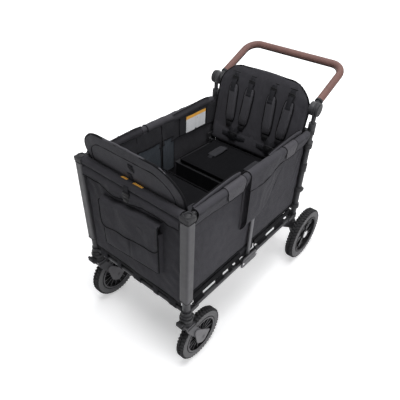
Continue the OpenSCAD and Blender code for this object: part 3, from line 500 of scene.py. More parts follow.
def lathe(profile, centre, n=72, axis="x"):
    """A closed profile of (along, radius) turned about an axis through the centre."""
    x0, y0, z0 = centre
    if axis == "x":
        return loft([[(x0 + x, y0 + r * c, z0 + r * s) for x, r in profile] for c, s in circle(1, n)], True)
    return loft([[(x0 + r * c, y0 + r * s, z0 + x) for x, r in profile] for c, s in circle(1, n)], True)


def hull2d(discs, n=20):
    """Convex outline round discs (y, z, r)."""
    pts = {(round(y + a, 4), round(z + b, 4)) for y, z, r in discs for a, b in circle(r, n)}

    def half(seq):
        out = []
        for p in seq:
            while len(out) > 1 and ((out[-1][0] - out[-2][0]) * (p[1] - out[-2][1])
                                    - (out[-1][1] - out[-2][1]) * (p[0] - out[-2][0])) <= 0:
                out.pop()
            out.append(p)
        return out[:-1]
    return half(sorted(pts)) + half(sorted(pts, reverse=True))


FRAMES = 16
CLOTH = {"use_pressure": True, "uniform_pressure_force": 4.0, "mass": 0.2, "tension_stiffness": 12,
         "compression_stiffness": 12, "shear_stiffness": 12, "bending_stiffness": 0.4}


def puff(form, voxel, cap):
    """Voxel remesh, then a short cloth run under pressure; no point moves further than cap."""
    ob = linked("puff", mesh_of("puff", form))
    mod = ob.modifiers.new("remesh", "REMESH")
    mod.mode, mod.voxel_size = "VOXEL", voxel / 1000
    dg = bpy.context.evaluated_depsgraph_get()
    even = bpy.data.meshes.new_from_object(ob.evaluated_get(dg))
    bpy.data.objects.remove(ob)
    ob = linked("puff", even)
    rest = np.array([v.co for v in even.vertices])
    cloth = ob.modifiers.new("cloth", "CLOTH")
    for key, x in CLOTH.items():
        setattr(cloth.settings, key, x)
    cloth.settings.effector_weights.gravity = 0
    cloth.collision_settings.use_collision = False
    cloth.point_cache.frame_start, cloth.point_cache.frame_end = 1, FRAMES
    for f in range(1, FRAMES + 1):
        S.frame_set(f)
    dg = bpy.context.evaluated_depsgraph_get()
    final = bpy.data.meshes.new_from_object(ob.evaluated_get(dg))
    d = np.array([v.co for v in final.vertices]) - rest
    size = np.linalg.norm(d, axis=1, keepdims=True)
    now = rest + d * np.minimum(1, cap / 1000 / np.maximum(size, 1e-9))
    faces = [tuple(p.vertices) for p in final.polygons]
    bpy.data.objects.remove(ob)
    S.frame_set(1)
    return (now * 1000).tolist(), faces


def pad_form(stations, cols, edge, front, rear):
    """Rows (along z, half width, fullness): a closed pad whose face is at -y."""
    rows = len(stations)
    verts = []
    for side in (0, 1):
        for z, w, full in stations:
            for j in range(cols + 1):
                u = 2 * j / cols - 1
                k = full * (1 - abs(u) ** 4)
                verts.append((w * u, -edge / 2 - front * k if side == 0 else edge / 2 + rear * k, z))
    n, b = cols + 1, rows * (cols + 1)
    faces = []
    for i in range(rows - 1):
        for j in range(cols):
            a = i * n + j
            faces += [(a, a + 1, a + n + 1, a + n), (b + a, b + a + n, b + a + n + 1, b + a + 1)]
        f = i * n
        faces += [(f, f + n, b + f + n, b + f), (f + cols, b + f + cols, b + f + n + cols, f + n + cols)]
    last = (rows - 1) * n
    for j in range(cols):
        faces += [(j, b + j, b + j + 1, j + 1), (last + j, last + j + 1, b + last + j + 1, b + last + j)]
    return verts, faces


make_stage()

# Backrests. Their frames have +z up the slope and -y out of the face that children lean on.
ON_REAR = shift(0, REAR_BACK_Y, BACK_Z) @ turn(-11, "X")
ON_FRONT = shift(0, FRONT_BACK_Y, BACK_Z) @ turn(180, "Z") @ turn(-16, "X")
BACKS = {"rear": (ON_REAR, 422.0, 544.0), "front": (ON_FRONT, 386.0, 546.0)}  # frame, length, width
CORNER, START, ARCH = 122.0, 28.0, 24.0
APRON = [(-8, 92), (-11.4, 74), (-13.4, 52), (-13.8, 30), (-13, 10), (-11, -3), (-7.6, -8.6), (0, -11), (7.6, -8.4),
         (10.8, 0), (10.6, 14), (8, 32), (0, 80)]  # (y, z) round the foot of a backrest
APRON_X, APRON_ROWS = 252, 70


def arched(x, z, L, W):
    """How far the arch of the top edge lowers a point of a backrest."""
    return ARCH * (2 * x / W) ** 2 * np.clip(2 * z / L - 0.9, 0, 1)


def back_outline(L, W, inset=0.0, n=14):
    """Points (x, z) up the left side, round the corners and down the right side."""
    w, r, top = W / 2 - inset, CORNER - inset * 0.6, L - inset
    left = [(-w, START + (top - r - START) * i / 8) for i in range(8)]
    for i in range(n + 1):
        a = radians(90 * i / n)
        left.append((-w + r * (1 - cos(a)), top - r + r * sin(a)))
    left += [(-x, z) for x, z in reversed(left)]
    return [(x, z - arched(x, z, L, W)) for x, z in left]


def back_width(z, L, W):
    over = max(0.0, z - (L - CORNER))
    return W / 2 - CORNER + sqrt(max(0.0, CORNER ** 2 - over ** 2))


def face_y(x, z, L, W):
    """Height of the CAD pad's face above its middle plane."""
    u = abs(x) / max(1.0, back_width(z, L, W))
    full = 1 - abs(2 * min(1.0, z / L) - 1) ** 4
    return 6 + 6 * full * max(0.0, 1 - u ** 4)


def backrest(which):
    m, L, W = BACKS[which]
    # The front backrest takes the copy of the pad cloth with painted light.
    body, cloth = which + "_back", PAD if which == "rear" else PAD_WITH_PAINTED_LIGHT
    zs = list(np.linspace(START + 3, L - CORNER, 16))
    zs += [L - CORNER + (CORNER - 4) * sin(radians(88 * i / 18)) for i in range(1, 19)]
    rows = [(z, back_width(z, L, W) - 5, 1 - abs(2 * z / L - 1) ** 4) for z in zs]
    v, f = puff(pad_form(rows, 36, 8, 5, 3), 7, 4.5)
    v = np.array(v)
    v[:, 0] *= (W / 2 - 2.0) / np.abs(v[:, 0]).max()
    low, high = v[:, 2].min(), v[:, 2].max()
    v[:, 2] = START + 1 + (v[:, 2] - low) * (L - 2.0 - START - 1) / (high - low)
    frontish = v[:, 1] < 0
    if which == "rear":  # a sewn line up the middle
        ends = np.clip((v[:, 2] - 40) / 30, 0, 1) * np.clip((L - 40 - v[:, 2]) / 40, 0, 1)
        v[:, 1] += np.where(frontish, 3.2 * np.exp(-(v[:, 0] / 5) ** 2) * ends, 0)
    edge = W / 2 - np.abs(v[:, 0])
    k = np.exp(-((edge - 34) / 4.5) ** 2) * (v[:, 2] < L - CORNER)
    v[:, 1] += np.where(frontish, 2.4 * k, -1.2 * k)
    v[:, 1] += 0.9 * np.array([crumple(x, z) for x, _, z in v]) * np.clip(edge / 60, 0, 1)
    v[:, 1] = np.clip(v[:, 1], -13.4, 11.6)
    v[:, 2] -= arched(v[:, 0], v[:, 2], L, W)
    pad = add(which + "_backrest_pad", moved((v.tolist(), f), m), cloth, body, [which + "_backrest"], PUFFED)

    def line(inset, lift, s):
        """The outline at an inset, on the face (s = -1) or on the back."""
        return [(x, s * face_y(x, z, L, W) + lift, z) for x, z in back_outline(L, W, inset)]

    rim = [(x, 0.0, z) for x, z in back_outline(L, W, 3.2)]
    add(which + "_backrest_piping", moved(tube(walk(rim, 7), 4.6, 10), m), PIPE, body)
    if which == "front":
        add("front_backrest_seam", moved(piping(line(44, 0.4, 1)[6:-6], 1.7, 7), m), PIPE, body)
        st = join(*[stitches(line(inset, 0.2, 1)[6:-6], BACKWARD) for inset in (38, 50)])
        add("front_backrest_stitches", moved(st, m), THREAD, body)
    hang = [[(x, y + (0.9 * crumple(x, z) if 4 < z < 80 else 0), z) for y, z in APRON]
            for x in np.linspace(-APRON_X, APRON_X, APRON_ROWS)]
    add(which + "_backrest_apron", moved(loft(hang), m), cloth, body, sharp=SOFT)
    add(which + "_backrest_edge_stitches", moved(stitches(line(16, 0.6, -1), FORWARD), m), THREAD, body)


for which in BACKS:
    backrest(which)

# Harness: shoulder pads, webbing, adjusters and buckles on each backrest
PAD_LEN, CROTCH_LEN = 198.0, 118
pad_rows = [(z, 28.5 - 9 * abs(2 * z / PAD_LEN - 1) ** 5, 1 - abs(2 * z / PAD_LEN - 1) ** 6)
            for z in np.linspace(0, PAD_LEN, 24)]
PAD_FORM = puff(pad_form(pad_rows, 14, 6.0, 6.5, 0.6), 4, 3.2)
PAD_RIM = tube(walk(mirrored([(-w - 1.6, 1.2, z) for z, w, _ in pad_rows]), 5, True), 2.4, 8, True)
crotch_rows = [(z, 24 + 5 * sin(pi * z / CROTCH_LEN), 1 - abs(2 * z / CROTCH_LEN - 1) ** 6)
               for z in np.linspace(0, CROTCH_LEN, 14)]
CROTCH_FORM = puff(pad_form(crotch_rows, 10, 4.0, 2.0, 0.5), 4, 2.6)
BELTS = ((-0.62, -3.5), (-0.24, 2.0), (0.24, -3.5), (0.62, 2.0))  # share of the half width, lean in degrees
BUCKLE_SHARE = 0.43


def harness(which):
    m, L, W = BACKS[which]
    pads, rims, webs, hard, threads = [], [], [], [], []
    z0, top = L - 304, L - 46  # foot of the pads, slots in the backrest

    def face(x, z):
        return -face_y(x, z, L, W)

    for share, lean in BELTS:
        x, xm = W / 2 * share, W / 2 * (BUCKLE_SHARE if share > 0 else -BUCKLE_SHARE)
        y, yt = face(x, L / 2) - 5.4, face(x, top)
        hang = shift(x, y, z0 + PAD_LEN) @ turn(lean, "Y") @ shift(0, 0, -PAD_LEN)
        pads.append(moved(PAD_FORM, hang))
        rims.append(moved(PAD_RIM, hang))
        hold = lerp(xm, x, 0.45)
        px, pz = lerp(x, hold, 0.45), lerp(z0 - 12, 92, 0.45)
        py = face(px, pz)
        webs += [strap([(x, yt + 3, top), (x, yt - 1.6, top - 3), (x, yt - 5, top - 22), (x, y - 6, top - 44),
                        (x, y - 10.4, top - 66), (x, y - 11.0, top - 96)], 27, 1.8, FORWARD),
                 rbox((x, y - 11.6, top - 92), (30, 2.4, 14), 1.0),
                 strap([(x, y - 2, z0 + 8), (x, face(x, z0) - 3, z0 - 12), (hold, face(hold, 90) - 7, 92),
                        (lerp(xm, x, 0.22), face(xm, 66) - 10, 62)], 25, 1.6, FORWARD)]
        hard += [rbox((x, yt - 9.8, top - k), (33, 2.6, 4.2), 1.1) for k in (21, 30, 39)]
        hard += [rbox((x, yt - 7.2, top - 30), (36, 4.4, 24), 2), rbox((x, yt - 0.6, top + 1), (44, 2.6, 5), 1.0),
                 rbox((px, py - 5.5, pz), (34, 5, 26), 2), rbox((px, py - 8.2, pz + 4), (28, 2.2, 4), 0.9)]
        corners = ((-21, -24), (21, -24), (21, 12), (-21, 12), (-21, -24))
        threads.append(stitches([(x + a, yt - 0.2, top + b) for a, b in corners], FORWARD, 4.4, 3.0))
        threads += [moved(stitches([(dx, -7.2, 22), (dx, -7.6, 99), (dx, -7.2, 176)], FORWARD, 6), hang)
                    for dx in (-22, 22)]
    for s in (-1, 1):
        xm = s * W / 2 * BUCKLE_SHARE
        yb = face(xm, 60) - 11
        hard += [rbox((xm, yb, 46), (46, 13, 44), 5, 3), rbox((xm, yb - 6.6, 48), (20, 3, 20), 1.4, 2)]
        for side in (-1, 1):
            hard.append(rbox((xm + side * 22, yb + 1, 56), (16, 8, 16), 3))
            x1 = xm + side * 96
            y1 = face(x1, 44)
            webs.append(strap([(x1, y1 + 2, 40), (x1 - side * 14, y1 - 4, 42), (xm + side * 20, yb, 46)],
                              25, 1.6, FORWARD))
    for name, forms, mat, replaced in (
            ("shoulder_pad_set", pads, PADL, [which + "_shoulder_pads"]), ("shoulder_pad_piping", rims, PIPE, []),
            ("harness_webbing", webs, WEB, []), ("harness_hardware", hard, BUCKLE, []),
            ("harness_stitches", threads, THREAD, [])):
        ob = add(which + "_" + name, moved(join(*forms), m), mat, which + "_back", replaced, WOVEN)
        gather([ob])


for which in BACKS:
    harness(which)

# Benches: cushions with piping, crotch straps and a hanging front edge
CUSHION_T, CUSHION_W, CUSHION_R = 32.4, 476.0, 14.0
SKIRT_Z, SKIRT_H = 656, 118
CROTCH_X = 115.0


def bench(which, hinge_y, length, d):
    """A bench from its hinge towards +y (d = 1) or -y (d = -1)."""
    body, t, W, r = which + "_bench", CUSHION_T, CUSHION_W, CUSHION_R
    rows = [(z, W / 2 - 4 - 5 * sin(pi * z / length), 1 - abs(2 * z / length - 1) ** 8)
            for z in np.linspace(4, length - 4, 26)]
    v, f = puff(pad_form(rows, 40, t - 8, 4, 0), 8, 4.0)
    v = np.array(v)
    k = np.exp(-(v[:, 0] / 5) ** 2) + np.exp(-((np.abs(v[:, 0]) - W / 2 + 40) / 5) ** 2)
    v[:, 1] += np.where(v[:, 1] < -8, 2.6 * k, 0)
    v[:, 1] = np.clip(v[:, 1], -t / 2 - 7, t / 2 - 0.4)
    lying = (Matrix.Identity(4) if d > 0 else turn(180, "Z")) @ turn(-90, "X")
    m = shift(0, hinge_y, SEAT_Z - 0.3 - t / 2) @ lying
    pad = add(which + "_bench_pad", moved((v.tolist(), f), m), SEAT, body, [which + "_bench_cushion"], PUFFED)

    def lap(u, w):
        return (u - 0.5) * 488, hinge_y + d * (10 - 26 * w), SEAT_Z - 6 - 5 * w * w + 0.8 * sin(u * 40)
    add(which + "_bench_lap", shell(grid(lap, 60, 6)[:, ::-d], 3.0), SEAT, body, sharp=SOFT)
    ring = []
    x, near, far = W / 2 - 3 - r, 3 + r, length - 3 - r
    for cx, cz, a0 in ((x, near, -90), (x, far, 0), (-x, far, 90), (-x, near, 180)):
        ring += [(cx + r * cos(radians(a0 + 15 * i)), -t / 2 + 4, cz + r * sin(radians(a0 + 15 * i))) for i in range(7)]
    add(which + "_bench_piping", moved(tube(walk(ring, 8, True), 2.8, 8, True), m), PIPE, body)
    edge_y = hinge_y + d * length

    def hanging(u, w):
        wave = 2.5 * sin(u * 23) + 1.5 * sin(u * 57 + 1)
        return (u - 0.5) * 500, edge_y + d * (2.0 + wave * w), SKIRT_Z - SKIRT_H * w
    skirt = add(which + "_bench_skirt", shell(grid(hanging, 60, 10)[:, ::-d], 2.0), SEAT, body, sharp=SOFT)
    gather([skirt])
    pads, webs = [], []
    for x in (-CROTCH_X, CROTCH_X):
        pads.append(moved(CROTCH_FORM, shift(x, hinge_y + d * 52, SEAT_Z + 10.5) @ lying))
        for path in (((186, 3), (176, 9), (160, 12)), ((60, 10.5), (42, 9), (30, 1))):
            webs.append(strap([(x, hinge_y + d * y, SEAT_Z + z) for y, z in path], 25, 1.8, UP))
    crotch = add(which + "_crotch_pads", join(*pads), WALL_IN, body, sharp=WOVEN)
    web = add(which + "_crotch_webbing", join(*webs), WEB, body, sharp=WOVEN)
    gather([crotch, web])


bench("rear", REAR_BENCH_Y, REAR_BENCH_Y - (MY + 80), -1)
bench("front", FRONT_BENCH_Y, MY - 48 - FRONT_BENCH_Y, 1)

# Side walls: a taut wall in halves under the rails, with hem, inner valance, pockets and ties
WALL_Z0, WALL_Z1, WALL_X = 438.0, 892.0, 286.6
VALANCE_Z, VALANCE_H = 772, 112


def wall_x(y, z, y0, y1):
    """How far out a wall stands: taut, a little full, creased towards its ends."""
    u, v = (y - y0) / (y1 - y0), (z - WALL_Z0) / (WALL_Z1 - WALL_Z0)
    x = WALL_X + 3.0 * sin(pi * u) * max(0.0, sin(pi * v)) ** 0.7
    x += 0.9 * bump_at(min(abs(y - MY), 400), 46) * sin(y / 7.0)
    for k in (u, 1 - u):
        x += 1.6 * bump_at(k - 0.05, 0.09) * sin((z + 2.2 * k * (y1 - y0)) / 15) * (0.3 + v)
    x += 0.8 * sin(u * 9 + v * 4) * sin(v * 7 + u * 3) + 0.9 * crumple(y, z)
    return max(285.6, min(x, 289.4 if abs(y - MY) < 24 else 291.0))


def side_walls(which, y0, y1, ribs):
    ya, yb = y0 + 6, y1 - 6

    def at(y, z, lift=0.0):
        return wall_x(y, z, y0, y1) + lift, y, z

    def hem(u, w):
        x, y, z = at(lerp(y0, y1, u), WALL_Z0)
        return x + 1.2 + 0.8 * sin(pi * w), y, z - 4 + 20 * w

    def valance(u, w):
        x = 280.6 - 2.4 * sin(u * 31 + 2) * (1 - w) - 2.0 * sin(u * 13) * (1 - w * 0.6)
        x -= 1.6 * crumple(u * 420, w * VALANCE_H) * min(1, 4 * w)
        return min(281.8, x), lerp(ya, yb, u), VALANCE_Z + VALANCE_H * w + 5 * sin(u * 5) * (1 - w)

    wall = shell(grid(lambda u, w: at(lerp(y0, y1, u), lerp(WALL_Z0, WALL_Z1, w)), 64, 44), 2.2)
    lines = [[at(y, WALL_Z0 + dz, 0.5) for y in np.linspace(y0 + 3, y1 - 3, 40)] for dz in (22, 28)]
    lines += [[at(y, z, 0.5) for z in np.linspace(WALL_Z0 + 24, 816, 40)] for y in (y0 + 9, y1 - 9)]
    trim = [tube([(min(281.0, 280.0 - 2.4 * sin(u * 31 + 2) - 2.0 * sin(u * 13)), lerp(ya, yb, u),
                   VALANCE_Z + 5 * sin(u * 5)) for u in np.linspace(0, 1, 50)], 1.8)]
    trim += [tube([(278.8 - 1.5 * sin(z / 17), lerp(y0, y1, rib), z) for z in np.linspace(776, 880, 18)], 1.5)
             for rib in ribs]
    pieces = {}
    for name, form, mat, replaced in (
            ("wall", wall, TUB, [which + "_side_walls"]), ("wall_hem", shell(grid(hem, 64, 5), 4.4), PIPE, []),
            ("wall_stitches", join(*[stitches(p, OUT) for p in lines]), THREAD, []),
            ("wall_valance", shell(grid(valance, 60, 14)[:, ::-1], 1.8), WALL_IN, []),
            ("wall_valance_edge", join(*trim), PIPE, [])):
        pieces[name] = add(which + "_" + name, both(form), mat, which + "_upper_fold", replaced, SOFT)
    gather(pieces.values())


side_walls("rear", MY + 0.4, RY - 15, (0.3, 0.8))
side_walls("front", FY + 24, MY - 0.4, (0.3, 0.62))


def over_rail(y0, y1, low, foot, r=17.6, n=60, fold=0.9):
    """Grid of a cover that goes over a top rail and hangs outside it down to low(u), standing at x = foot(u)."""
    def at(u, w):
        y = lerp(y0, y1, u)
        k = r + fold * (0.6 * sin(y / 9 + 5 * w) * sin(y / 41 + 1) + 0.9 * crumple(y, 130 * w))
        if w < 0.55:
            a = radians(204 - 204 * w / 0.55)
            return HW + k * cos(a), y, TZ + k * sin(a)
        t = (w - 0.55) / 0.45
        z = lerp(TZ, low(u), t)
        x = lerp(HW + k, foot(u), t ** 1.3) + (0.8 * sin(y / 23 + 3) + 1.4 * crumple(y, z)) * t
        return x, y, z
    return grid(at, n, 34)[::-1]


def rail_cover(which, y0, y1, band_y, strip_y):
    """Fabric on a top rail that hangs over the wall, a band that closes round it and a padded strip inside it."""
    body = which + "_upper_fold"
    G = over_rail(y0, y1, lambda u: 822 + 3 * sin(u * 8), lambda u: 292.5)
    cover = add(which + "_rail_cover", both(shell(G[:, :20], 2.0)), TUB, body, [which + "_rail_sleeves"], SOFT)
    skirt = add(which + "_rail_skirt", both(shell(G[:, 18:], 2.0)), TUB, body, sharp=SOFT)
    edge = add(which + "_rail_skirt_edge", both(piping(G[:, -1], 1.5, 7)), PIPE, body)
    st = stitches(G[::-1, -3] + [0.5, 0, 7], OUT)
    st = add(which + "_rail_skirt_stitches", both(st), THREAD, body)
    gather((skirt, edge, st))

    def wrap(u, w):
        a = radians(205 - 215 * min(1, w / 0.58))
        drop = max(0.0, (w - 0.58) / 0.42) * 48
        y = lerp(*band_y, u) + 20 * max(0.0, (w - 0.5) / 0.5) ** 2 * (1 - u)
        return HW + 20.2 * cos(a) - 0.16 * drop, y, TZ + 20.2 * sin(a) - drop
    G = grid(wrap, 22, 28)
    tie = add(which + "_rail_band", both(shell(G[::-1], 1.6)), POLY, body, sharp=SOFT)
    edge = np.concatenate([G[0], G[1:-1, -1], G[-1][::-1]])
    add(which + "_rail_band_edge", both(piping(edge, 1.6)), PIPE, body)
    s0, s1 = strip_y
    line = smooth_path([(283.5, s0, 897), (282.2, s0 + 60, 902), (281.8, (s0 + s1) / 2, 908), (281.8, s1 - 40, 914),
                        (283, s1, 910)], 8)
    strip = both(sweep(line, band(9, 36), (0.25, 0, 1)))
    add(which + "_rail_strip", strip, PAD, body, sharp=SOFT)
    add(which + "_rail_strip_edge", both(tube(line + [-3.4, 0, 17.6], 1.8)), PIPE, body)


rail_cover("rear", MY + 84, RY - 36, (MY + 196, MY + 292), (MY + 92, MY + 370))
rail_cover("front", FY + 40, MY - 84, (MY - 244, MY - 122), (MY - 412, MY - 128))

# A tie from the hem to the lower rail, in (x, z)
TIE = ((288.6, 452), (289.6, 430), (291.5, 408), (296, 391), (302, 386.4), (307, 385.2))


def ties(which, places, y0, y1):
    """Webbing ties from the hem round the lower rail, and a strip along the rail under the hem."""
    forms = []
    for a, b in places:
        path = smooth_path([(x, MY + (a + b) / 2, z) for x, z in TIE], 5)
        T = directions(path)
        forms.append(sweep(path, band(b - a, 1.4), np.stack([-T[:, 2], np.zeros(len(T)), T[:, 0]], 1)))
    forms.append(shell(grid(lambda u, w: (293.5 + 3.5 * sin(pi * w), lerp(y0, y1, u), 402 + 36 * w), 40, 6), 2.4))
    ob = add(which + "_wall_ties", both(join(*forms)), PIPE, which + "_lower_fold", sharp=WOVEN)
    gather([ob])


def mid_skirts():
    foot = shell(grid(lambda u, w: (285.6 + 1.2 * sin(u * 17), MY - 66 + 132 * u, 380 + 74 * w), 30, 8), 2.2)
    side = shell(grid(lambda u, w: (256 + 31 * w, MY - 64 + 128 * u, 390.4), 24, 4)[::-1], 2.0)
    skirts = add("mid_skirts", both(join(foot, side)), WALL_IN, "mid_frame", sharp=SOFT)
    gather([skirts])


mid_skirts()
ties("rear", ((62, 70), (97, 176), (256, 340)), MY + 60, RY - 44)
ties("front", ((-404, -339), (-253, -194), (-154, -130), (-98, -62)), FY + 46, MY - 60)


# Side pockets: a slack pouch round each middle post, with a bound mouth

def side_pockets():
    body, y0, y1 = "mid_frame", MY - 88.0, MY + 226.0
    over = 0.879  # share of the pocket that goes over the rail

    def stand(u):
        return 320.5 - 27 * min(1.0, max(0.0, (u - 0.3) / 0.55)) ** 1.2

    def seam(u):
        return 826 - 12 * sin(pi * u * 0.9)

    def face(u, w):
        y = lerp(y0, y1, u)
        x = stand(u) + (1 - w) * 1.0 - (stand(u) - 291) * max(0.0, (w - 0.72) / 0.28) ** 2 * 0.9
        x += 1.5 * sin(pi * w) * sin(pi * u)
        x += 2.2 * crumple(y, 200 * w) * min(1, 4 * u, 4 - 4 * u) * (1 - abs(2 * w - 1) ** 3)
        return x, y, lerp(seam(u), 604 + 190 * max(0.0, (u - 0.35) / 0.65) ** 2.2, w)

    top = over_rail(y0, MY + 188, lambda u: seam(u * over), lambda u: stand(u * over), 20.6, 70, 1.1)
    G = grid(face, 60, 36)[::-1]
    mouth = G[-1]

    def bellows(u, w):
        z = lerp(878, mouth[-1][2], w)
        deep = 20 * sin(pi * u) * min(1.0, 6 * w, 6 * (1 - w) + 0.15)
        return (lerp(290.5, mouth[min(35, int(w * 35))][0], u), y0 + deep + 1.2 * sin(z / 15) * sin(pi * u), z)
    B = grid(bellows, 14, 40)
    cloth = both(join(shell(top, 2.2), shell(G, 2.2), shell(B, 1.6)))
    pouches = add("side_pocket_pouches", cloth, TUB, body, ["side_pockets"], SOFT)
    rims = join(piping(mouth, 2.4), piping(G[:, -1], 1.8), piping(G[:, 0], 1.5), piping(top[-1], 2.0))
    lines = [stitches(p + [0.5, 0, 0], OUT) for p in (G[2:-2, 2], G[-4, 3:-3])]
    gather((pouches, add("side_pocket_binding", both(rims), PIPE, body),
            add("side_pocket_welts", both(tube(walk(B[0], 6), 4.2, 10)), POLY, body),
            add("side_pocket_stitches", both(join(*lines)), THREAD, body)))


side_pockets()


# Inner wall pieces: sheer pockets and a plain patch

def inner_pocket(name, which, y0, y1):
    full = 9 * min(1.0, (y1 - y0) / 120)

    def sag(u, w):
        y = lerp(y0, y1, u)
        x = 281.5 - full * sin(pi * u) * (0.35 + 0.65 * w) - sin(y / 4.2) * w
        return x - 0.8 * crumple(y, 180 * w) * sin(pi * u), y, lerp(606.0, 800.0, w)
    G = grid(sag, 40, 22)
    body = which + "_upper_fold"
    rim = join(tube(G[:, 0], 2.2), tube(G[0], 2.0), tube(G[-1], 2.0))
    net = add(name + "_net", both(shell(G[::-1], 0.9)), SHEER, body, sharp=SOFT)
    gather((net, add(name + "_elastic", both(tube(G[:, -1], 3.2)), PIPE, body),
            add(name + "_rim", both(rim), PIPE, body)))


def wall_patch():
    G = grid(lambda u, w: (-277.4 + 0.8 * sin(u * 6), 56 + 158 * u, 780 + 92 * w), 16, 12)
    patch = add("wall_patch", shell(G[:, :10], 0.9), PATCH, "rear_upper_fold", sharp=SOFT)
    edge = add("wall_patch_edge", shell(G[:, 9:] + [0.3, 0, 0], 1.0), ORANGE, "rear_upper_fold", sharp=SOFT)
    gather((patch, edge))


inner_pocket("inner_pocket", "front", MY - 168, MY - 6)
inner_pocket("rear_inner_pocket", "rear", MY + 6, MY + 92)
wall_patch()

# Front wall: panel, bar sleeve, hanging flap, ties, pocket, strap and buckle
FRONT_W, REAR_W = 276.0, 286.0  # half widths of the end walls
END_Z, FRONT_H, REAR_H = 404, 474, 478
FRONT_TIES = ((-250, -200), (-128, -100), (-18, 30), (112, 140), (206, 250))  # from x to x
FRONT_LOOP = ((-9, 410), (-11.5, 396), (-13.4, 380), (-11.6, 364), (0, 359.5), (11.6, 364), (12.6, 378), (-2, 392),
              (-5, 408))  # (y, z) of a tie round the lower bar


def front_panel(u, w):
    z = END_Z + FRONT_H * w
    x = (2 * u - 1) * (FRONT_W - 9 * bump_at(z - 610, 95))
    y = FY - 8.2 - 2.2 * sin(pi * u) * sin(pi * w)
    y -= 1.6 * bump_at(abs(x) - 240, 30) * sin((z + abs(x)) / 15) + 0.8 * sin(u * 14 + w * 5)
    y -= 2.5 * (0.35 + 0.65 * bump_at(abs(x) - 225, 55)) * crumple(x, z) * min(1, 8 * w, 8 - 8 * w)
    return x, y, z


def front_sleeve(u, w):
    x, a = (2 * u - 1) * FRONT_W, 2 * pi * w
    k = 17.2 * (1 + 0.035 * sin(x / 9 + 2 * a) * sin(x / 41)) + 0.8 * crumple(x, 108 * w) * sin(pi * w)
    return x, FY + k * sin(a), TZ - k * cos(a)


def front_flap(u, w):
    x = (2 * u - 1) * (FRONT_W - 2)
    z = lerp(TZ - 12, 836 - 16 * bump_at(x + 60, 110) + 9 * bump_at(x - 165, 60), w)
    y = FY - 11 - 12 * sin(min(1, 1.6 * w) * pi / 2) - 4.2 * sin(x / 27 + 1.5 * sin(x / 71)) * w * w
    return x, y + 3.2 * crumple(x, z) * w, z


def front_wall():
    """Returns the stitches of the flap."""
    body = "front_frame"
    wall = add("front_end_wall", shell(grid(front_panel, 70, 46), 2.2), TUB, body, ["front_panel"], SOFT)
    sleeve = add("front_bar_cover", shell(grid(front_sleeve, 70, 33), 2.0), TUB, body, sharp=SOFT)
    G = grid(front_flap, 70, 14)
    flap = add("front_flap", shell(G[:, ::-1], 2.0), TUB, body, sharp=SOFT)
    add("front_flap_edge", piping(G[:, -1], 2.6, 7), PIPE, body)
    hem = grid(lambda u, w: ((2 * u - 1) * FRONT_W, FY - 9.8 - 0.6 * sin(pi * w), 402 + 18 * w), 60, 5)
    add("front_end_hem", shell(hem, 4.0), PIPE, body, sharp=SOFT)
    loops = []
    for x0, x1 in FRONT_TIES:
        path = smooth_path([((x0 + x1) / 2, FY + y, z) for y, z in FRONT_LOOP], 4)
        T = directions(path)
        loops.append(sweep(path, band(x1 - x0, 1.4), np.stack([np.zeros(len(T)), -T[:, 2], T[:, 1]], 1)))
    add("front_end_ties", join(*loops), WEB, body, sharp=WOVEN)
    return stitches(G[4:-4, -2] + [0, -0.6, 9], FORWARD)


# Front pocket: a slack box with a sewn middle and a bound flap, a little askew
POCKET_W, POCKET_Z0, POCKET_Z1, POCKET_Y, POCKET_DEPTH = 366.0, 526.0, 744.0, FY - 9.2, 29.0
LID_TOP, LID_LOW, LID_R = 800.0, 650.0, 34


def askew(x, y, z, slope):
    return x * 0.93 + 12, y, z + slope * x


def pocket(u, w):
    a = (u - 0.5) * 2
    x = a * POCKET_W / 2
    edge, foot = min(1.0, (1 - abs(a)) / 0.05), min(1.0, w / 0.10)
    corner = min(1.0, hypot(max(0, 0.06 - (1 - abs(a)) / 2) / 0.06, max(0, 0.1 - w) / 0.1))
    depth = POCKET_DEPTH * sqrt(max(0.0, 1 - (1 - edge) ** 2)) * sqrt(max(0.0, 1 - (1 - foot) ** 2))
    depth *= 1 - 0.35 * max(0, corner - 0.7)
    depth -= 4.5 * bump_at(x, 7) * edge * min(1, 3 * w)
    depth += (2.6 * crumple(x * 0.7, 150 * w) + 1.6 * sin(x / 23 + w * 4)) * edge * foot * (0.4 + 0.6 * w)
    return askew(x, POCKET_Y - max(0.4, depth), lerp(POCKET_Z0, POCKET_Z1, w), 0.08)


def pocket_lid(u, w):
    half = POCKET_W / 2 + 3
    x = (2 * u - 1) * half
    r = max(0.0, abs(x) - (half - LID_R))
    z = lerp(LID_TOP, LID_LOW + LID_R - sqrt(max(0.0, LID_R ** 2 - r ** 2)), w)
    t = min(1.0, (LID_TOP - z) / 17.0)
    y = POCKET_Y - 1.2 - 31.0 * (1 - (1 - t) ** 1.7)
    return askew(x, y - (2.4 * sin(x / 25 + 2) + 1.8 * crumple(x * 0.7, z * 0.7)) * t, z, 0.10)


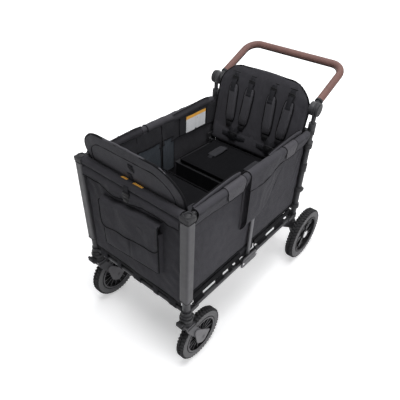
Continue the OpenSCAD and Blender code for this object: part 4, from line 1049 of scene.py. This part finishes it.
def front_pocket():
    """Returns the stitches of the pocket and its flap."""
    body, y1, half = "front_frame", POCKET_Y - 26, POCKET_W / 2 - 3
    G = grid(pocket, 80, 46)
    back = G.copy()
    back[:, :, 1] = POCKET_Y
    add("front_pocket_pouch", between(G, back), TUB, body, ["front_pocket"], WOVEN)
    line = [(-half, y1, z) for z in np.linspace(POCKET_Z1 - 6, POCKET_Z0 + 24, 16)]
    line += [(-half + 20 * (1 - cos(a)), y1 + 6 * sin(a), POCKET_Z0 + 24 - 20 * sin(a))
             for a in np.linspace(0.1, 1.57, 7)]
    add("front_pocket_piping", piping([askew(*p, 0.08) for p in mirrored(line)], 3.0), PIPE, body)
    sewn = [stitches([(x, y1, z) for z in np.linspace(POCKET_Z0 + 22, 660, 20)], FORWARD) for x in (2.5, 21.5)]
    G = grid(pocket_lid, 74, 24)
    lid = add("front_pocket_flap", shell(G[:, ::-1], 2.4), TUB, body, sharp=SOFT)
    edge = np.concatenate([G[0, 2:], G[1:-1, -1], G[-1, ::-1][:-2]])
    add("front_pocket_flap_edge", piping(edge, 2.8), PIPE, body)
    return join(*sewn, stitches(G[3:-3, -3] + [0, -0.5, 0], FORWARD), stitches(G[1:-1, 1] + [0, -0.6, 0], FORWARD))


def front_strap():
    """Strap over the bar with its side-release buckle, tabs on the sleeve, a loop on the backrest."""
    body = "front_frame"
    hold, mid = ON_FRONT @ Vector((0, 12.6, 262)), ON_FRONT @ Vector((0, 13.0, 214))
    path = [tuple(hold), tuple(mid), (0, FY - 19.5, TZ + 8), (0, FY - 22.2, TZ - 6), (0, FY - 22.6, 872)]
    web = add("front_strap_web", strap(path, 25, 2.0, (0, -1, 0.4), 4), WEB, None, ["front_strap"], WOVEN)
    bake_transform(web)
    hard = [rbox((x, FY - 22.5 + y, z), size, r, seg) for x, y, z, size, r, seg in (
        (0, 0, 866, (37, 9, 12), 2.4, 3), (0, 0, 852, (35, 8.4, 18), 3.0, 3), (0, 0, 834, (37, 9.4, 20), 3.0, 3),
        (-15.4, -0.6, 851, (6.4, 8, 14), 2, 2), (15.4, -0.6, 851, (6.4, 8, 14), 2, 2),
        (0, -4.6, 834, (22, 2, 12), 0.9, 2), (0, -3.8, 866.5, (27, 3, 3), 1.2, 2), (0, -4.4, 822, (30, 2.4, 3), 1, 2))]
    add("front_buckle", join(*hard), BUCKLE, body, ["strap_buckle"], BENT)
    tabs = [rbox((x, FY + 3, TZ + 19.8), (w, 12, 1.8), 0.5, 2, turn(-14, "X", 3)) for x, w in ((-31, 31), (45, 50))]
    add("crease_tabs", join(*tabs), ORANGE, body)
    loop = [strap([(x, 12, 318), (x, 18, 312), (x, 15.5, z + 14), (x, 13, z)], 9, 1.6, BACKWARD, 3)
            for x, z in ((-31, 282), (-20, 284))]
    loop.append(rbox((-25.5, 13.2, 317), (26, 3, 7), 1.2))
    add("front_back_loop", moved(join(*loop), ON_FRONT), WEB, "front_back", sharp=WOVEN)


flap_stitches = front_wall()
add("front_stitches", join(flap_stitches, front_pocket()), THREAD, "front_frame")
front_strap()


# Rear wall with its net pocket

def rear_panel(u, w):
    x, z = (2 * u - 1) * REAR_W, END_Z + REAR_H * w
    y = RY + 8.2 + 2.4 * sin(pi * u) * sin(pi * w) + 0.9 * sin(u * 15 + w * 6)
    y += 1.3 * bump_at(abs(x) - 240, 28) * sin((z + abs(x)) / 16) + 0.8 * crumple(x, z)
    return x, y, z


def rear_net(u, w):
    x = (2 * u - 1) * 190
    full = sin(pi * u) ** 0.5 * sin(pi * min(1, 0.12 + 0.6 * w)) ** 0.7
    return x, RY + 12 + 22 * full + 1.2 * sin(x / 21 + 5 * w), 520 + 190 * w


def rear_wall():
    body = "rear_frame"
    wall = add("rear_wall_panel", shell(grid(rear_panel, 70, 46)[::-1], 2.2), TUB, body, ["rear_panel"], SOFT)
    hem = grid(lambda u, w: ((2 * u - 1) * REAR_W, RY + 9.8 + 0.6 * sin(pi * w), 402 + 18 * w), 60, 5)
    add("rear_wall_hem", shell(hem[::-1], 4.0), PIPE, body, sharp=SOFT)
    G = grid(rear_net, 60, 30)
    net = add("rear_pocket_net", shell(G[::-1], 1.4), NET, body, sharp=SOFT)
    ring = np.concatenate([G[0, ::-1], G[1:, 0], G[-1, 1:]])
    add("rear_pocket_binding", join(piping(ring, 2.4), tube(G[:, -1], 3.4)), PIPE, body)
    lines = [[rear_panel((x / REAR_W + 1) / 2, (z - END_Z) / REAR_H) for x in np.linspace(-262, 262, 60)]
             for z in (424, 872)]
    add("rear_stitches", join(*[stitches(np.array(p) + [0, 0.4, 0], BACKWARD) for p in lines]), THREAD, body)


rear_wall()


# Floor: quilted mats on the boards, flaps over their gaps and the pull strap

def floor():
    for name, body in (("rear_floor", "rear_lower_fold"), ("mid_floor", "mid_frame"),
                       ("front_floor", "front_lower_fold")):
        a, b = (np.array(c) * 1000 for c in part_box(name))
        c, s = (a + b) / 2, b - a

        def quilt(u, w):
            p, q = u * s[0], w * s[1]
            sunk = 0.9 * abs(sin((p + q) / 34)) * abs(sin((p - q) / 34))
            return a[0] + 5 + (s[0] - 10) * u, a[1] + 5 + (s[1] - 10) * w, b[2] - 0.4 - sunk
        base = rbox(tuple(c - [0, 0, 1.2]), (s[0] - 1, s[1] - 1, s[2] - 3), 2.5, 3)
        top = shell(grid(quilt, 90, max(8, int(s[1] / 6))), 2.4)
        add(name + "_mat", join(base, top), MAT, body, [name], WOVEN)
    flaps = [shell(grid(lambda u, w: ((2 * u - 1) * 272, MY + y + 21 * w, 380.2), 30, 4), 1.6) for y in (-67, 46)]
    ob = add("mid_floor_flaps", join(*flaps), MAT, "mid_frame", sharp=WOVEN)
    gather([ob])
    up = np.array([[cos(a), 0, sin(a)] for a in np.linspace(0.0, pi, 30)])
    add("fold_strap_web", sweep([0, MY, 396.2] + 33.5 * up, band(30, 2.6), up), WEB, "mid_frame", ["fold_strap"], WOVEN)


floor()


# Wraps, caps, hinge covers and clips on the frame

def post_square(degrees, half, p=6.0):
    """A point of the rounded square round a front post."""
    c, q = cos(radians(degrees)), sin(radians(degrees))
    k = half * (abs(c) ** p + abs(q) ** p) ** (-1 / p)
    return HW + k * c, FY + k * q


def post_skin(u, w):
    return *post_square(-212 + 244 * u, 22.7 if 0.02 < w < 0.98 else 22.2), 452 + 429 * w


def trim():
    add("front_post_covers", both(shell(grid(post_skin, 60, 40), 2.4)), COVER, "front_frame", sharp=BENT)
    rings = [tube([(*post_square(a, half), z) for a in np.linspace(-212, 32, 60)], r)
             for z, r, half in ((453, 2.0, 22.6), (880, 1.6, 22.4))]
    add("front_post_cover_edges", both(join(*rings)), PLASTIC, "front_frame")
    dome = [(902, 0.2), (902, 13), (905, 13), (907.6, 10.4), (908.6, 5), (908.8, 0.2)]
    caps = join(lathe(dome, (HW, FY, 0), 40, "z"), rbox((HW, FY, TZ), (45.2, 45.2, 22), 2.6, 3))
    add("front_post_caps", both(caps), PLASTIC, "front_frame")
    wide = hull2d([(MY + s * y, BZ + z, r) for s in (-1, 1) for y, z, r in ((52, -11, 18.48), (41.6, 8.8, 17.6))], 24)
    raised = hull2d([(MY + s * 40.56, BZ - 2, 10.56) for s in (-1, 1)])
    covers = join(plate(wide, HW + 10.6, HW + 17, 2.2), plate(raised, HW + 16.8, HW + 18.6, 1.0))
    add("mid_hinge_covers", both(covers), COVER, "mid_frame", sharp=CUT)
    bolt = [(HW + 18.4, 0.2), (HW + 18.4, 6.2), (HW + 20.4, 5.4), (HW + 20.8, 0.2)]
    bolts = join(*[lathe(bolt, (0, MY + y, BZ), 24) for y in (-55, 55)])
    add("mid_hinge_bolts", both(bolts), STEEL, "mid_frame", sharp=CUT)
    clips = [lathe([(z, 15.3), (z, 21), (z + 2, 22.4), (z + h - 2, 22.4), (z + h, 21), (z + h, 15.3)], (HW, RY, 0), 40,
                   "z") for z, h in ((806, 24), (540, 26), (430, 22))]
    clips += [rbox((HW + x, RY + y, z), size, r, 3) for x, y, z, size, r in (
        (3, 25, 818, (16, 20, 14), 4), (3, 34, 824, (12, 8, 20), 3), (18, 8, 553, (12, 22, 20), 4),
        (0, 24, 441, (18, 16, 16), 4))]
    add("rear_post_clips", both(join(*clips)), PLASTIC, "rear_frame", sharp=MOULDED)
    for name, y, d in (("front", FY + 12, 1), ("rear", RY - 10, -1)):
        outline = [(y, 386), (y, 361), (y + d * 56, 364), (y + d * 60, 372), (y + d * 52, 384)]
        gusset = plate(outline, HW + 9, HW + 14, 1.6)
        add(name + "_gussets", both(gusset), PLASTIC, name + "_frame", sharp=CUT)


trim()

# Push handle: stitched grip, end rings, hub rings
GRIP_R = 18.6


def handle():
    body = "push_handle"
    on = shift(0, HUB_Y, HUB_Z) @ turn(HANDLE_ANGLE, "X")
    path = [(-ARM_X, y, 0) for y in np.linspace(52, HANDLE_LEN - BEND_R, 14)]
    path += [(-ARM_X + BEND_R * (1 - cos(a)), HANDLE_LEN - BEND_R + BEND_R * sin(a), 0)
             for a in np.linspace(0.08, 1.57, 18)]
    path += [(x, HANDLE_LEN, 0) for x in np.linspace(-ARM_X + BEND_R + 12, -6, 16)]
    P = walk(mirrored(path), 5)
    grip = sweep(P, circle(GRIP_R, 28), UP)
    add("handle_grip_cover", moved(grip, on), LEATHER, body, ["handle_grip"], WOVEN)
    T = directions(P)
    inside = unit(np.cross(np.array([0, 0, 1.0]), T))
    if inside[len(P) // 2][1] > 0:
        inside = -inside
    low = unit(inside + np.array([0, 0, -0.5]))
    add("handle_grip_seam", moved(sweep(P + low * GRIP_R, band(9, 1.6), low), on), BRASSY, body)
    side = unit(np.cross(T, low))
    st = [stitches(P + unit(low + k * side) * GRIP_R, low, 6.0, 4.0, 1.1, 0.7) for k in (-0.33, 0.33)]
    add("handle_grip_stitches", moved(join(*st), on), BRASSY, body)
    rings = [sweep([(x, y, 0) for y in ys], circle(r, n), UP) for x in (-ARM_X, ARM_X)
             for ys, r, n in (((46, 47, 55, 56), 19.8, 28), ((22, 26, 40, 47), 14.6, 24))]
    add("handle_grip_rings", moved(join(*rings), on), PLASTIC, body, sharp=MOULDED)
    hubs = [lathe(profile, (0, HUB_Y, HUB_Z), 56) for profile in (
        [(297.2, 27), (297.2, 33.8), (298.6, 35), (303, 35), (304.4, 33.8), (304.4, 27)],
        [(316.6, 15.4), (316.6, 26), (318.4, 27.6), (319.6, 26), (319.6, 15.4)])]
    add("hub_rings", both(join(*hubs)), PLASTIC, "rear_frame", sharp=MOULDED)


handle()


# Wheels: treaded tyres, finned rims and trims
REAR_TYRE, FRONT_TYRE = (328, 236, 50, 52), (274, 196, 42, 46)  # diameters outside and inside, width, blocks


def tyre(which, side, centre, d, inner, w, blocks):
    """A tyre of outer and inner diameters d and inner, with two rows of blocks and lugs."""
    R, ri, h = d / 2 - 8, inner / 2 + 0.2, w / 2
    middle, body = lerp(ri, R, 0.5), which + "_wheel_" + side
    half = [(3 - h, ri), (-h, ri + 5), (-h, middle), (1.5 - h, R - 12), (6 - h, R - 4), (12 - h, R - 1)]
    forms = [lathe(half + [(0, R)] + [(-x, r) for x, r in reversed(half)], centre, 96)]
    arc = 2 * pi * R / blocks
    for i in range(blocks):
        for s in (-1, 1):
            m = shift(*centre) @ turn((i + (0.5 if s > 0 else 0)) * 360 / blocks, "X")
            slant, lean = Matrix.Rotation(s * 0.5, 3, "Z"), Matrix.Rotation(s * 0.7, 3, "Y")
            block = rbox((s * h * 0.42, 0, R + 3.6), (h * 0.66, arc * 0.58, 9.0), 1.2, 1, slant)
            lug = rbox((s * (h - 5.0), 0, R - 0.6), (7.0, arc * 0.54, 10), 1.2, 1, lean)
            forms += [moved(block, m), moved(lug, m)]
    wall = [(h - 2, ri + 2), (h + 0.4, ri + 5), (h + 0.9, middle), (h - 0.2, R - 5), (h - 2.2, R - 1.5), (h - 4, R - 2),
            (h - 4, ri + 2)]
    walls = []
    for s in (-1, 1):
        walls.append(lathe([(s * x, r) for x, r in wall], centre, 96))
        walls += [hoop(centre, s * (h + 0.2), r, 1.3, 6) for r in (ri + 9, lerp(ri, R, 0.66))]
    add(f"{which}_sidewall_{side}", join(*walls), SIDEWALL, body, sharp=TREAD)
    verts, faces = join(*forms)
    top = np.array(verts) - centre
    reach = np.hypot(top[:, 1], top[:, 2])
    top[:, 1:] *= np.minimum(1, (d / 2 - 0.05) / np.maximum(reach, 1))[:, None]
    add(f"{which}_tread_{side}", ((top + centre).tolist(), faces), RUBBER, body, [f"{which}_tyre_{side}"], TREAD)


def rear_wheel(s, side):
    body, c = "rear_wheel_" + side, (s * AXLE[0], *AXLE[1:])
    tyre("rear", side, c, *REAR_TYRE)
    x = s * 11.6
    lines = []
    for i in range(5):
        m = shift(*c) @ turn(72 * i + 90, "X")
        lines.append(moved(rbox((x, 0, 49), (2.4, 4.2, 40), 0.9), m))
        lines += [moved(rbox((x, k * 11, 88), (2.4, 3.6, 44), 0.9, 2, turn(-k * 28, "X", 3)), m) for k in (-1, 1)]
    boss = [(18.1, 8.6), (18.1, 15), (20.0, 14), (20.6, 12), (20.6, 8.6)]
    lines.append(lathe([(s * x, r) for x, r in boss], c, 48))
    add("rear_wheel_trim_" + side, join(*lines), SILVER, body, sharp=MOULDED)
    lips = join(*[hoop(c, x, 114, 2.0) for x in (24.4, -24.4)])
    add("rear_rim_lips_" + side, lips, PLASTIC, body)


def front_wheel(s, side):
    body, c = "front_wheel_" + side, (s * FRONT_AXLE[0], *FRONT_AXLE[1:])
    tyre("front", side, c, *FRONT_TYRE)
    fins, blades = [], []
    for i in range(15):
        m = shift(*c) @ turn(24 * i, "X")
        blades.append(moved(rbox((0, 0, 58), (25, 2.6, 66), 0.7, 1), m))
        fins += [moved(rbox((x, 0, 58), (2.4, 3.0, 64), 0.7, 1), m) for x in (-13, 13)]
    add("front_rim_blades_" + side, join(*blades), RIM, body, sharp=MOULDED)
    fins += [hoop(c, x, r, 2.0) for r in (94, 90) for x in (20.4, -20.4)]
    add("front_rim_fins_" + side, join(*fins), GREY, body, sharp=MOULDED)


def caster(s, side):
    """Covers and crown of a fork, with the swivel housing and the lock above it."""
    body, x, (_, y, z) = "caster_" + side, s * HW, FRONT_AXLE
    fan = hull2d([(y - 34, z - 2, 13), (y - 4, z - 12, 24), (y + 30, z + 8, 13), (y - 50, z + 82, 15)], 28)
    covers = []
    for k in (-1, 1):
        covers += [plate(fan, x + k * 30.6, x + k * 36.4, 2.4),
                   plate(hull2d([(y, z, 9)], 28), x + k * 36.2, x + k * 39.4, 1.2)]
    add("fork_covers_" + side, join(*covers), GREY, body, sharp=CUT)
    post = (x, FY, 0)
    crown = join(rbox((x, FY + 4, 285), (66, 56, 22), 8, 3),
                 lathe([(288, 9), (288, 27), (292, 29), (297, 29), (299.2, 27), (299.2, 9)], post, 44, "z"))
    add("fork_crowns_" + side, crown, PLASTIC, body, sharp=MOULDED)
    sleeve = [(300.4, 18.4), (300.4, 27), (304, 28.5), (316, 28.5), (322, 25.6), (346, 25.2), (352, 27), (358, 27),
              (361, 24.6), (361, 18.4)]
    pin = [(-21, 0.2), (-21, 8), (-19.4, 9.6), (19.4, 9.6), (21, 8), (21, 0.2)]
    house = join(lathe(sleeve, post, 48, "z"), rbox((x, FY - 27, 311), (32, 20, 19), 5, 3),
                 lathe(pin, (x, FY - 36, 310.4), 32),
                 lathe([(330, 25), (331, 30.5), (342, 30.5), (343, 25)], post, 48, "z"),
                 rbox((x + 4 * s, FY + 27, 334), (30, 16, 26), 5, 3))
    add("housing_shells_" + side, house, PLASTIC, "front_frame", sharp=MOULDED)
    tilt = turn(-24, "X", 3)
    lever = join(rbox((x, FY - 40.5, 326), (27, 21, 13), 5.6, 4, tilt),
                 rbox((x, FY - 44, 331), (34, 13, 12), 5.4, 4, tilt))
    add("lock_levers_" + side, lever, PLASTIC, "lock_" + side, sharp=MOULDED)


for s, side in ((-1, "l"), (1, "r")):
    rear_wheel(s, side)
    front_wheel(s, side)
    caster(s, side)

# Every CAD node gets its finish, and those that stay get soft edges
FINISH = {
    "frame_paint": PAINT, "post_grey": POST, "black_plastic": PLASTIC, "handle_core": PAINT, "fork_grey": COVER,
    "axle_steel": STEEL, "seat_board": PLASTIC, "rim_plastic": RIM, "tub_fabric": TUB, "pad_fabric": PAD,
    "webbing": WEB, "floor_mat": MAT, "grip_leather": LEATHER, "tyre_rubber": RUBBER}
WELD, EDGE = 0.00002, 0.0009
for part in frame["record"]["subparts"]:
    ob = frame["nodes"][part["node"]]
    ob.data.materials.clear()
    ob.data.materials.append(FINISH[part["material_slot"]])
    if ob.hide_render:
        continue
    ob.modifiers.new("weld", "WELD").merge_threshold = WELD
    soft = ob.modifiers.new("bevel", "BEVEL")
    soft.width, soft.segments, soft.limit_method, soft.angle_limit = EDGE, 2, "ANGLE", radians(40)
    soft.harden_normals = True
